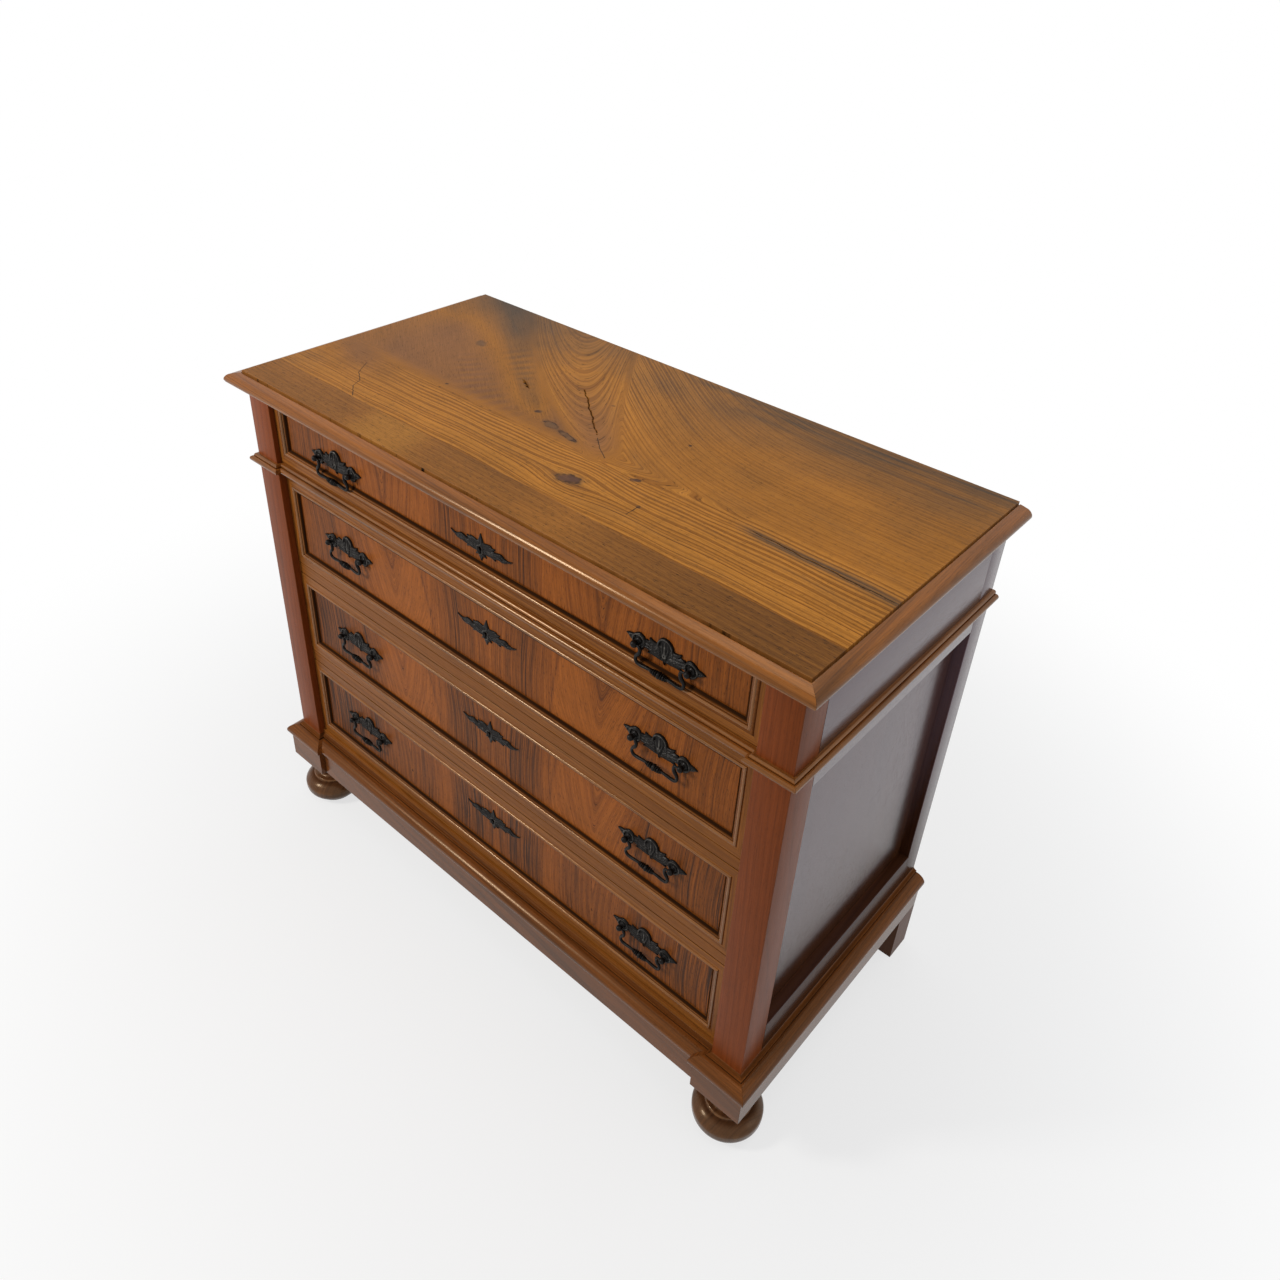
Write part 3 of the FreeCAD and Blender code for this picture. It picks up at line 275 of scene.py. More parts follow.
def spread(low: float, high: float, step: float, fine: Iterable[tuple[float, float, float]] = ()) -> Array:
    """Stations from low to high, with closer steps in the stretches that are given.

    Args:
        low: First station.
        high: Last station.
        step: Usual distance between stations.
        fine: Stretches as middle, half length and step.

    Returns:
        Rising stations.
    """
    stations = [np.linspace(low, high, max(2, int(round((high - low) / step)) + 1))]
    for middle, half, close in fine:
        a, b = max(low, middle - half), min(high, middle + half)
        if b > a:
            stations[0] = stations[0][(stations[0] <= a) | (stations[0] >= b)]
            stations.append(np.linspace(a, b, max(2, int(round((b - a) / close)) + 1)))
    joined = np.unique(np.concatenate(stations))
    keep = np.concatenate([[True], np.diff(joined) > 1e-6])
    return joined[keep]


def near(*places: float, half: float = 1.2 * MM, step: float = 0.3 * MM) -> list[tuple[float, float, float]]:
    """Stretches of closer stations about some places, such as the ends of an eased board.

    Args:
        places: Middles of the stretches.
        half: Half length of each.
        step: Distance between its stations.

    Returns:
        The stretches, as spread takes them.
    """
    return [(place, half, step) for place in places]


def within(u: Array, v: Array, low: Sequence[float], high: Sequence[float]) -> Array:
    """Distance of each place from the nearest side of a rectangle, above 0 inside it.

    Args:
        u: Places along the first axis.
        v: Places along the second axis.
        low: The rectangle's lowest corner; only its first two numbers count.
        high: Its highest corner.

    Returns:
        The distances, with the shape of the places.
    """
    return np.minimum(np.minimum(u - low[0], high[0] - u), np.minimum(v - low[1], high[1] - v))


def arc(start: Sequence[float], through: Sequence[float], end: Sequence[float], steps: int = 8) -> Array:
    """Points of the circle through three points, from the first to the last.

    The centre is where the two chords' middle lines cross; the points turn about it evenly.

    Args:
        start: First point.
        through: A point on the way.
        end: Last point.
        steps: Number of chords.

    Returns:
        The points, one row each, without the first.
    """
    a, b, c = (np.asarray(p, float) for p in (start, through, end))
    rows = 2 * np.array([b - a, c - a])
    centre = np.linalg.solve(rows, np.array([b @ b - a @ a, c @ c - a @ a]))
    first, middle, last = (math.atan2(*(p - centre)[::-1]) for p in (a, b, c))
    turn = (last - first) % math.tau
    if (middle - first) % math.tau > turn:
        turn -= math.tau
    angles = first + turn * np.linspace(0, 1, steps + 1)[1:]
    radius = np.linalg.norm(a - centre)
    return centre + radius * np.stack([np.cos(angles), np.sin(angles)], -1)


def outline(*steps: Sequence[float]) -> Array:
    """A drawn section: two numbers are a straight run to a point, four an arc through one to another.

    Args:
        steps: The points and arcs in order.

    Returns:
        The section's points, one row each.
    """
    rows = [np.asarray([steps[0]], float)]
    for step in steps[1:]:
        last = rows[-1][-1]
        rows.append(arc(last, step[:2], step[2:]) if len(step) == 4 else np.array([step], float))
    return np.concatenate(rows)


def section_wear_and_shade(section: Array, rub: float = 1.0, grime_and_shade: float = 0.9) -> Array:
    """Wear and painted shade round a section: rubbed outward bends, grime and painted shade in inward ones.

    The turn at each point is the signed angle between its two edges. Both the turn and the turn
    over the length near it count, so a sharp arris and a tight round are rubbed alike.

    Args:
        section: Points of the closed section.
        rub: Most wear.
        grime_and_shade: Most grime and painted shade.

    Returns:
        One value for each point.
    """
    before, after = section - np.roll(section, 1, 0), np.roll(section, -1, 0) - section
    turn = np.arctan2(
        before[:, 0] * after[:, 1] - before[:, 1] * after[:, 0], np.einsum("ij,ij->i", before, after)
    )
    length = (np.linalg.norm(before, axis=1) + np.linalg.norm(after, axis=1)) / 2
    area = np.sum(section[:, 0] * np.roll(section[:, 1], -1) - section[:, 1] * np.roll(section[:, 0], -1))
    strength = np.maximum(np.abs(turn) * 1.2, np.abs(turn) / length * 2.2 * MM)
    # inward bends go below 0: grime, deepened into painted shade in the crease
    return np.clip(strength * np.sign(turn) * np.sign(area), -grime_and_shade, rub)


def refined(section: Array, set_in: float = 1.3 * MM) -> Array:
    """A section with points added a little way from each end of its long straight runs.

    Args:
        section: Points of the closed section.
        set_in: Distance of the new points from the ends.

    Returns:
        The section's points, old and new, in order.
    """
    rows = []
    for a, b in zip(section, np.roll(section, -1, 0)):
        rows.append(a)
        length = np.linalg.norm(b - a)
        if length > 4 * set_in:
            rows += [a + (b - a) * set_in / length, b + (a - b) * set_in / length]
    return np.array(rows)


def mitred_run(
    shell: Shell,
    section: Array,
    corners: Array,
    normal: Array,
    grains: Sequence[Along],
    closed: bool = False,
    hairline: float = 0.15 * MM,
    seed: float = 0.0,
    wear: Callable[[Array], Array] = section_wear_and_shade,
) -> None:
    """Carry a section along straight members that meet in mitres, each one a closed solid.

    At each corner both members end on the plane that halves the angle between them, a hairline
    short of it, so the mitre shows as a fine line.

    Args:
        shell: Shell that takes the members.
        section: Section points as distance outwards and distance along the normal.
        corners: Corners of the path, one row each.
        normal: Direction of the section's second axis.
        grains: Grain axis of each member.
        closed: Whether the last corner joins the first.
        hairline: Gap left at each mitre by each member.
        seed: Shift of the grain coordinates from member to member.
        wear: Rule that gives the wear, grime and painted shade at the section's points.
    """
    section = refined(section)
    members = len(corners) if closed else len(corners) - 1
    ahead = np.roll(corners, -1, 0)[:members] - corners[:members]
    ahead /= np.linalg.norm(ahead, axis=1)[:, None]
    outward = np.cross(ahead, normal)
    # rubbed on convex bends; grime and painted shade in concave ones
    worn_and_shaded = wear(section)
    for number in range(members):
        run, out = ahead[number], outward[number]
        rows = []
        for end in (0, 1):
            corner = corners[(number + end) % len(corners)]
            other = number - 1 if end == 0 else number + 1
            if closed:
                other %= members
            slope = np.zeros(len(section))
            gap = 0.0
            if 0 <= other < members:
                half = run + ahead[other]
                half /= np.linalg.norm(half)
                slope = -section[:, 0] * (out @ half) / (run @ half)
                gap = hairline * (1 if end == 0 else -1)
            base = corner + section[:, :1] * out + section[:, 1:] * normal
            rows.append(base + (slope + gap)[:, None] * run)
        stations = np.linspace(0, 1, max(2, int(np.linalg.norm(rows[1][0] - rows[0][0]) / 0.06)))
        loops = rows[0] + stations[:, None, None] * (rows[1] - rows[0])
        shift = (seed + 0.37 * number, 0.061 * number + seed, 0.023 * number)
        shell.tube(loops, grain_of(loops, grains[number], shift), wear=worn_and_shaded)


def eased_bar(
    shell: Shell,
    low: Sequence[float],
    high: Sequence[float],
    along: Along,
    ease: float = 0.8 * MM,
    shift: Sequence[float] = (0.0, 0.0, 0.0),
    rub: float = 0.5,
) -> None:
    """Add a straight bar with eased edges: a rounded rectangle carried along one axis.

    Args:
        shell: Shell that takes the bar.
        low: Lowest corner.
        high: Highest corner.
        along: Axis that the bar and its grain run along.
        ease: Radius of the four long edges.
        shift: Move of the grain coordinates.
        rub: Wear on the eased edges.
    """
    axis, first, second = along.value
    turn = np.linspace(0, math.pi / 2, 4)
    quarter = np.stack([np.cos(turn), np.sin(turn)], -1)
    corners = ((high, high), (low, high), (low, low), (high, low))
    loop, wear = [], []
    for number, (one, two) in enumerate(corners):
        c, s = math.cos(number * math.pi / 2), math.sin(number * math.pi / 2)
        rotated = quarter @ np.array([[c, s], [-s, c]])
        sign = np.array([1 if one is high else -1, 1 if two is high else -1])
        centre = np.array([one[first], two[second]]) - sign * ease
        loop.append(centre + rotated * ease)
        wear.append(np.array([0, rub, rub, 0]))
    loop, wear = np.concatenate(loop), np.concatenate(wear)
    stations = spread(low[axis], high[axis], 0.05)
    loops = np.empty((len(stations), len(loop), 3))
    loops[..., axis] = stations[:, None]
    loops[..., first] = loop[:, 0]
    loops[..., second] = loop[:, 1]
    shell.tube(loops, grain_of(loops, along, shift), wear=wear)


def eased_edge(distance: Array, ease: float) -> Array:
    """Drop of a surface towards its rim: a quarter round of radius ease.

    Args:
        distance: Distance of each point from the rim.
        ease: Radius of the round.

    Returns:
        Heights from -ease at the rim to 0.
    """
    inside = np.clip(distance, 0, ease)
    return np.sqrt(np.maximum(ease**2 - (ease - inside) ** 2, 0)) - ease


def smooth(value: Array, low: float, high: float) -> Array:
    """Smooth step from 0 at low to 1 at high: 3t squared less 2t cubed."""
    t = np.clip((value - low) / (high - low), 0, 1)
    return t * t * (3 - 2 * t)


# ---------------------------------------------------------------- materials


class Graph:
    """A material's nodes, with one short call for each kind that the finishes use."""

    def __init__(self, name: str) -> None:
        """Start an empty material.

        Args:
            name: Name of the material.
        """
        self.material = bpy.data.materials.new(name)
        self.material.use_nodes = True
        self.tree = self.material.node_tree
        self.tree.nodes.clear()

    def add(
        self, kind: str, inputs: dict[str | int, object] | None = None, **settings: object
    ) -> bpy.types.Node:
        """Add a node.

        Args:
            kind: Blender's type of node.
            inputs: A socket to link or a value to set, by input name or number.
            settings: Properties of the node.

        Returns:
            The node.
        """
        node = self.tree.nodes.new(kind)
        for key, value in settings.items():
            setattr(node, key, value)
        for key, value in (inputs or {}).items():
            if isinstance(value, bpy.types.NodeSocket):
                self.tree.links.new(value, node.inputs[key])
            else:
                node.inputs[key].default_value = value
        return node

    def math(self, operation: str, *values: object) -> bpy.types.NodeSocket:
        """One sum on numbers, such as ADD or MULTIPLY."""
        return self.add("ShaderNodeMath", dict(enumerate(values)), operation=operation).outputs[0]

    def vector(self, x: object, y: object, z: object) -> bpy.types.NodeSocket:
        """A vector from three numbers."""
        return self.add("ShaderNodeCombineXYZ", {0: x, 1: y, 2: z}).outputs[0]

    def split(self, vector: bpy.types.NodeSocket) -> tuple[bpy.types.NodeSocket, ...]:
        """The three numbers of a vector."""
        return tuple(self.add("ShaderNodeSeparateXYZ", {0: vector}).outputs)

    def attribute(self, name: str, output: str) -> bpy.types.NodeSocket:
        """A value that the mesh holds at its points."""
        return self.add("ShaderNodeAttribute", attribute_name=name).outputs[output]

    def noise(
        self, vector: bpy.types.NodeSocket, scale: float, detail: float = 2.0, rough: float = 0.5
    ) -> bpy.types.NodeSocket:
        """Soft noise in space, from 0 to 1."""
        inputs = {"Vector": vector, "Scale": scale, "Detail": detail, "Roughness": rough}
        return self.add("ShaderNodeTexNoise", inputs, noise_dimensions="3D").outputs["Fac"]

    def line_noise(self, w: bpy.types.NodeSocket, scale: float, detail: float = 2.0) -> bpy.types.NodeSocket:
        """Soft noise along one number, from 0 to 1."""
        inputs = {"W": w, "Scale": scale, "Detail": detail, "Roughness": 0.6}
        return self.add("ShaderNodeTexNoise", inputs, noise_dimensions="1D").outputs["Fac"]

    def span(
        self, value: bpy.types.NodeSocket, low: float, high: float, to_low: float = 0.0, to_high: float = 1.0
    ) -> bpy.types.NodeSocket:
        """A number carried smoothly from one span to another, held at its ends."""
        inputs = {0: value, 1: low, 2: high, 3: to_low, 4: to_high}
        return self.add("ShaderNodeMapRange", inputs, interpolation_type="SMOOTHSTEP").outputs[0]

    def mix(self, share: object, first: object, second: object, blend: str = "MIX") -> bpy.types.NodeSocket:
        """Two colours mixed by a share."""
        first, second = ((*c, 1.0) if isinstance(c, tuple) else c for c in (first, second))
        inputs = {0: share, 6: first, 7: second}
        return self.add("ShaderNodeMix", inputs, data_type="RGBA", blend_type=blend).outputs[2]

    def bump(self, height: bpy.types.NodeSocket, strength: float, depth: float) -> bpy.types.NodeSocket:
        """A normal tilted by a height, whose full rise is depth metres."""
        inputs = {"Strength": strength, "Distance": depth, "Height": height}
        return self.add("ShaderNodeBump", inputs).outputs["Normal"]

    def close(self, inputs: dict[str, object]) -> bpy.types.Material:
        """End the material in one Principled shader.

        Args:
            inputs: The shader's sockets or values by name.

        Returns:
            The material.
        """
        shader = self.add("ShaderNodeBsdfPrincipled", inputs)
        self.add("ShaderNodeOutputMaterial", {"Surface": shader.outputs[0]})
        return self.material


@dataclass(frozen=True)
class Finish:
    """What a surface is finished with; slot is the record's name for it."""

    name: str
    slot: str

    @cache
    def material(self) -> bpy.types.Material:
        """The material, made once for each finish."""
        return self.make(Graph(f"{self.name}_finish"))

    def make(self, graph: Graph) -> bpy.types.Material:
        """Build the nodes.

        Args:
            graph: Empty material to fill.

        Returns:
            The finished material.
        """
        raise NotImplementedError


@dataclass(frozen=True)
class Knot:
    """A knot that shows in a board's face: its middle, half lengths and turn in degrees."""

    x: float
    y: float
    long: float
    wide: float
    turn: float = 0.0
    core: float = 0.75
    rim: float = 0.9
    tone: Colour = (0.105, 0.046, 0.030)


@dataclass(frozen=True)
class Wood(Finish):
    """Sawn wood under polish.

    Rings are noise along the distance from the log's middle, so their widths vary as a tree's do.
    Fibres, pores, clouds and curl are noise stretched along the grain.
    """

    light: Colour = (0.30, 0.12, 0.035)
    middle: Colour = (0.22, 0.08, 0.025)
    dark: Colour = (0.09, 0.03, 0.012)
    axes: Along | None = None
    rings: float = 150.0
    ring_share: float = 0.7
    bright: Colour = (0.42, 0.125, 0.022)
    stripe: float = 0.0
    regular: float = 0.0
    pith: tuple[float, float] = (-0.25, -0.3)
    taper: float = 0.03
    wander: float = 0.010
    streaks: float = 0.5
    streak_width: float = 26.0
    cloud: float = 0.22
    curl: float = 0.06
    fibre: float = 0.22
    pores: float = 0.35
    rough: float = 0.36
    specular: float = 0.35
    coat: float = 0.05
    shine: float = 0.8
    # colour of the specular reflections: a painted warm tint on highlights and reflections
    tint: Colour = (1.0, 0.72, 0.44)
    coat_rough: float = 0.16
    relief: float = 0.7
    dull_from: float | None = None
    knots: tuple[Knot, ...] = ()
    cracks: tuple[tuple[tuple[float, float], ...], ...] = ()
    # dark colour for grime and for painted shade, laid where the wear value is below 0
    grime_and_shade: Colour = (0.02, 0.009, 0.005)
    rubbed: Colour = (0.34, 0.135, 0.035)

    def place(self, graph: Graph) -> tuple[bpy.types.NodeSocket, ...]:
        """Grain coordinates: the piece's own, or the frame's axes for a plain board."""
        if self.axes is None:
            return graph.split(graph.attribute("grain", "Vector"))
        coordinates = graph.split(graph.add("ShaderNodeTexCoord").outputs["Object"])
        return tuple(coordinates[i] for i in self.axes.value)

    def make(self, graph: Graph) -> bpy.types.Material:
        """Build the nodes of the wood.

        Args:
            graph: Empty material to fill.

        Returns:
            The finished material.
        """
        g = graph
        along, across, through = self.place(g)

        def stretched(run: float, width: float, depth: float | None = None) -> bpy.types.NodeSocket:
            """Grain coordinates scaled along and across."""
            return g.vector(
                g.math("MULTIPLY", along, run),
                g.math("MULTIPLY", across, width),
                g.math("MULTIPLY", through, depth or width),
            )

        drift = g.math("SUBTRACT", g.noise(stretched(2.2, 9.0), 1.0, 2.0), 0.5)
        bent = g.math("MULTIPLY_ADD", drift, self.wander * 2, across)
        side = g.math("SUBTRACT", bent, self.pith[0])
        deep = g.math("SUBTRACT", through, self.pith[1])
        radius = g.math("SQRT", g.math("ADD", g.math("MULTIPLY", side, side), g.math("MULTIPLY", deep, deep)))
        radius = g.math("MULTIPLY_ADD", along, self.taper, radius)
        uneven = g.math("MULTIPLY", g.line_noise(radius, self.rings * 0.4, 1.0), 12.0)
        wave = g.math("SINE", g.math("MULTIPLY_ADD", radius, self.rings * 5.6, uneven))
        broad = g.math("MULTIPLY_ADD", wave, 0.3 * self.regular, g.line_noise(radius, self.rings, 2.0))
        broad = g.span(broad, 0.36 + 0.06 * self.regular, 0.68 + 0.04 * self.regular)
        thin = g.span(g.line_noise(radius, self.rings * 3.3, 1.0), 0.5, 0.68)
        rings = g.math("MULTIPLY_ADD", thin, 0.35, g.math("MULTIPLY", broad, 0.65))
        calm = g.attribute("calm", "Fac")
        rings = g.math("MULTIPLY_ADD", g.math("SUBTRACT", rings, 0.45), g.math("SUBTRACT", 1.0, calm), 0.45)
        fibre = g.noise(stretched(18.0, 620.0), 1.0, 3.0, 0.7)
        pore = g.span(g.noise(stretched(95.0, 1500.0), 1.0, 1.0), 0.6, 0.74)
        cloud = g.noise(stretched(3.2, 7.0), 1.0, 3.0)
        curl = g.noise(stretched(42.0, 8.0), 1.0, 2.0)
        streak_place = g.vector(
            g.math("MULTIPLY", along, 2.4),
            g.math("MULTIPLY", bent, self.streak_width),
            g.math("MULTIPLY", through, 9.0),
        )
        streak = g.span(g.noise(streak_place, 1.0, 4.0, 0.62), 0.48, 0.74)
        heart = g.attribute("heart", "Fac")
        stripe = g.span(g.noise(stretched(5.0, 380.0), 1.0, 2.0, 0.65), 0.42, 0.62)
        dark = g.math("MULTIPLY_ADD", streak, self.streaks, heart)
        share = g.math("MULTIPLY_ADD", rings, 0.45 * (1 - self.stripe), 0.6 - 0.25 * self.stripe)
        dark = g.math("MULTIPLY", dark, g.math("MULTIPLY_ADD", stripe, 0.85 * self.stripe, share))
        dark = g.math("MINIMUM", g.math("MAXIMUM", dark, 0.0), 1.0)

        colour = g.mix(g.math("MULTIPLY", rings, self.ring_share), self.light, self.middle)
        colour = g.mix(g.span(heart, 0.0, -1.0), colour, self.bright)
        colour = g.mix(dark, colour, self.dark)
        value = g.math("MULTIPLY_ADD", g.math("SUBTRACT", cloud, 0.5), self.cloud * 2, 1.0)
        value = g.math("MULTIPLY_ADD", g.math("SUBTRACT", curl, 0.5), self.curl * 2, value)
        value = g.math("MULTIPLY_ADD", g.math("SUBTRACT", fibre, 0.5), -self.fibre * 2, value)
        value = g.math("MULTIPLY_ADD", pore, -self.pores, value)
        colour = g.mix(1.0, colour, g.vector(value, value, value), "MULTIPLY")

        if self.knots or self.cracks:
            colour = self.marks(g, colour)
        wear = g.attribute("wear", "Fac")
        rub_noise = g.span(g.noise(stretched(30.0, 60.0), 1.0, 3.0), 0.35, 0.7)
        rub = g.math("MULTIPLY", g.span(wear, 0.15, 1.0), g.math("MULTIPLY_ADD", rub_noise, 0.5, 0.0))
        colour = g.mix(rub, colour, self.rubbed)
        # grime, and painted shade in hollows, recesses and undersides, darken where wear is below 0
        colour = g.mix(g.span(wear, -0.1, -0.9, 0.0, 0.94), colour, self.grime_and_shade)

        height = g.math("MULTIPLY_ADD", pore, -1.0, g.math("MULTIPLY", fibre, 0.35))
        height = g.math("MULTIPLY_ADD", cloud, self.relief * 0.6, height)
        gloss = g.math("MULTIPLY_ADD", fibre, 0.12, self.rough - 0.06)
        gloss = g.math("MULTIPLY_ADD", g.span(wear, -0.1, -0.9), 0.3, gloss)
        polish = self.polish(g, wear)
        return g.close(
            {
                "Base Color": colour,
                "Roughness": gloss,
                "Specular IOR Level": g.math("MULTIPLY", polish, self.specular),
                "Specular Tint": (*self.tint, 1.0),
                "Coat Weight": g.math("MULTIPLY", polish, self.coat),
                "Coat Roughness": self.coat_rough,
                "Normal": g.bump(height, 0.5 * self.relief, 0.12 * MM),
            }
        )

    def polish(self, graph: Graph, wear: bpy.types.NodeSocket) -> bpy.types.NodeSocket:
        """Share of polish left: more on rubbed edges, none in grime and painted shade, less low down."""
        g = graph
        left = g.math("MULTIPLY_ADD", g.span(wear, 0.2, 0.8), self.shine, g.span(wear, -0.45, 0.0))
        if self.dull_from is None:
            return left
        height = g.split(g.add("ShaderNodeTexCoord").outputs["Object"])[2]
        return g.math("MULTIPLY", left, g.span(height, self.dull_from, self.dull_from + 0.42, 0.05, 1.0))

    def marks(self, graph: Graph, colour: bpy.types.NodeSocket) -> bpy.types.NodeSocket:
        """Knots with a dark rim, and hairline cracks along broken lines.

        A knot is where the distance from its middle, measured in its half lengths and shaken by
        noise, is under 1. A crack is where the distance from the nearest straight run is small.

        Args:
            graph: The material's nodes.
            colour: Colour of the wood around.

        Returns:
            The colour with the marks on it.
        """
        g = graph
        place = g.add("ShaderNodeTexCoord").outputs["Object"]
        x, y, _ = g.split(place)
        shake = g.math("SUBTRACT", g.noise(place, 95.0, 3.0, 0.6), 0.5)
        jitter = g.math("SUBTRACT", g.noise(place, 160.0, 2.0, 0.6), 0.5)
        broken = g.span(g.noise(place, 75.0, 2.0, 0.5), 0.36, 0.58, 0.25, 1.0)
        for knot in self.knots:
            c, s = math.cos(math.radians(knot.turn)), math.sin(math.radians(knot.turn))
            dx, dy = g.math("SUBTRACT", x, knot.x), g.math("SUBTRACT", y, knot.y)
            u = g.math("MULTIPLY_ADD", dy, s / knot.long, g.math("MULTIPLY", dx, c / knot.long))
            v = g.math("MULTIPLY_ADD", dy, c / knot.wide, g.math("MULTIPLY", dx, -s / knot.wide))
            far = g.math("SQRT", g.math("ADD", g.math("MULTIPLY", u, u), g.math("MULTIPLY", v, v)))
            far = g.math("MULTIPLY_ADD", shake, 1.1, far)
            colour = g.mix(g.span(far, 1.6, 0.9, 0.0, 0.35), colour, self.dark)
            edge = g.math("MULTIPLY", g.span(far, 1.12, 0.92, 0.0, knot.rim), broken)
            colour = g.mix(edge, colour, (0.035, 0.015, 0.008))
            colour = g.mix(g.span(far, 0.85, 0.6, 0.0, knot.core), colour, knot.tone)
        nearest: bpy.types.NodeSocket | float = 1.0
        px = g.math("MULTIPLY_ADD", jitter, 3.2 * MM, x)
        py = g.math("MULTIPLY_ADD", shake, 3.2 * MM, y)
        for line in self.cracks:
            for (x0, y0), (x1, y1) in zip(line, line[1:]):
                length = math.hypot(x1 - x0, y1 - y0)
                cx, cy = (x1 - x0) / length, (y1 - y0) / length
                dx, dy = g.math("SUBTRACT", px, x0), g.math("SUBTRACT", py, y0)
                run = g.math("MULTIPLY_ADD", dy, cy, g.math("MULTIPLY", dx, cx))
                over = g.math("ABSOLUTE", g.math("SUBTRACT", run, length / 2))
                over = g.math("MAXIMUM", g.math("SUBTRACT", over, length / 2), 0.0)
                off = g.math("ABSOLUTE", g.math("MULTIPLY_ADD", dy, cx, g.math("MULTIPLY", dx, -cy)))
                nearest = g.math("MINIMUM", nearest, g.math("ADD", off, over))
        if self.cracks:
            colour = g.mix(g.span(nearest, 1.1 * MM, 0.35 * MM, 0.0, 0.85), colour, self.grime_and_shade)
        return colour


@dataclass(frozen=True)
class Metal(Finish):
    """Cast or filed metal with a patina that is rubbed off its high places."""

    bare: Colour = (0.36, 0.33, 0.29)
    patina: Colour = (0.010, 0.008, 0.007)
    rough: float = 0.30
    specular: float = 0.12
    metal: float = 0.1
    rub_from: float = 0.80
    grain_size: float = 900.0

    def make(self, graph: Graph) -> bpy.types.Material:
        """Build the nodes of the metal.

        Args:
            graph: Empty material to fill.

        Returns:
            The finished material.
        """
        g = graph
        place = g.add("ShaderNodeTexCoord").outputs["Object"]
        blotch = g.noise(place, 160.0, 3.0, 0.6)
        pits = g.noise(place, self.grain_size, 2.0, 0.6)
        wear = g.math("MULTIPLY_ADD", g.math("SUBTRACT", blotch, 0.5), 0.7, g.attribute("wear", "Fac"))
        rub = g.span(wear, self.rub_from, 1.5)
        colour = g.mix(rub, self.patina, self.bare)
        colour = g.mix(g.span(pits, 0.35, 0.75), colour, g.mix(0.5, colour, self.patina))
        gloss = g.math("MULTIPLY_ADD", pits, 0.25, self.rough - 0.1)
        return g.close(
            {
                "Base Color": colour,
                "Metallic": g.math("MULTIPLY_ADD", rub, 0.6, self.metal),
                "Roughness": gloss,
                "Specular IOR Level": self.specular,
                "Normal": g.bump(pits, 0.5, 0.15 * MM),
            }
        )


BARK = (0.15, 0.075, 0.034)
TOP_WALNUT = Wood(
    "walnut_top", "walnut_top", light=(0.43, 0.172, 0.026), middle=(0.165, 0.052, 0.005),
    dark=(0.070, 0.045, 0.028), bright=(0.205, 0.085, 0.031), rings=205.0, ring_share=1.0, regular=1.0,
    pith=(-3.0, -3.0), taper=0.0, wander=0.003, streaks=0.25, cloud=0.30, curl=0.10, fibre=0.50, pores=0.8,
    rough=0.45, specular=0.08, coat=0.02, shine=0.3, coat_rough=0.25,
    knots=(
        Knot(0.0655, -0.1270, 0.020, 0.012, 20),
        Knot(-0.0657, -0.0290, 0.015, 0.007, -12, 0.7, 1.0, BARK),
        Knot(-0.0235, -0.0378, 0.022, 0.0052, -13, 0.7, 1.0, BARK),
        Knot(-0.1105, -0.0105, 0.006, 0.004, 30, 0.2),
        Knot(0.1315, -0.0650, 0.008, 0.004, 25, 0.5),
        Knot(0.1810, -0.1150, 0.003, 0.003, 0, 0.0),
        Knot(0.1220, 0.0690, 0.0025, 0.0025, 0, 0.0),
        Knot(-0.2800, -0.0460, 0.003, 0.002, 20, 0.0),
        Knot(-0.0440, 0.0860, 0.003, 0.002, 20, 0.0),
        Knot(-0.3650, 0.1030, 0.012, 0.007, -35, 0.5, 0.3, BARK),
    ),
    cracks=(
        ((-0.431, -0.087), (-0.409, -0.119), (-0.383, -0.136), (-0.374, -0.156), (-0.345, -0.178)),
        ((0.011, -0.010), (0.036, -0.032), (0.060, -0.048)), ((0.181, -0.116), (0.182, -0.140)),
    ),
)
TOP_FRONT_WALNUT = Wood(
    "walnut_top_front", "walnut_top_front", light=(0.275, 0.108, 0.020), middle=(0.180, 0.062, 0.010),
    dark=(0.07, 0.026, 0.008), bright=(0.335, 0.140, 0.024), rings=240.0, ring_share=0.7,
    pith=(-0.5, -0.4), wander=0.003, streaks=0.25, cloud=0.3, fibre=0.6, pores=1.1,
    rough=0.45, specular=0.08, coat=0.02, shine=0.3, coat_rough=0.25,
)
MOULDING_WALNUT = Wood(
    "walnut_moulding", "walnut_moulding", light=(0.285, 0.092, 0.015), middle=(0.145, 0.042, 0.007),
    dark=(0.055, 0.018, 0.006), rings=190.0, ring_share=0.9, pith=(-0.06, -0.05), wander=0.006, streaks=0.7,
    fibre=0.5, rough=0.21, specular=0.38, coat=0.02, coat_rough=0.10, relief=0.12,
)
PLINTH_WALNUT = Wood(
    "walnut_plinth", "walnut_moulding", light=(0.205, 0.062, 0.012), middle=(0.105, 0.031, 0.006),
    dark=(0.052, 0.017, 0.006), rings=150.0, ring_share=0.9, pith=(-0.06, -0.05), wander=0.006, streaks=0.7,
    fibre=0.5, rough=0.23, specular=0.24, coat=0.02, coat_rough=0.10, relief=0.15,
)
PANEL_WALNUT = Wood(
    "walnut_figured", "walnut_figured", light=(0.385, 0.112, 0.019), middle=(0.225, 0.058, 0.010),
    dark=(0.050, 0.018, 0.008), bright=(0.42, 0.122, 0.019), stripe=1.0, rings=210.0, ring_share=0.9,
    pith=(-2.0, -2.0), taper=0.0, wander=0.008, streaks=0.6, streak_width=70.0, cloud=0.30, curl=0.12,
    fibre=0.7, pores=0.9, rough=0.38, specular=0.10, coat=0.01, coat_rough=0.15,
)
FRAME_WALNUT = Wood(
    "walnut_frame", "walnut_frame", light=(0.345, 0.120, 0.020), middle=(0.18, 0.054, 0.009),
    dark=(0.085, 0.028, 0.008), rings=260.0, ring_share=1.0, pith=(-0.12, -0.2), wander=0.008, streaks=0.7,
    fibre=0.55, rough=0.32, specular=0.12, coat=0.01, coat_rough=0.12, relief=0.4,
)
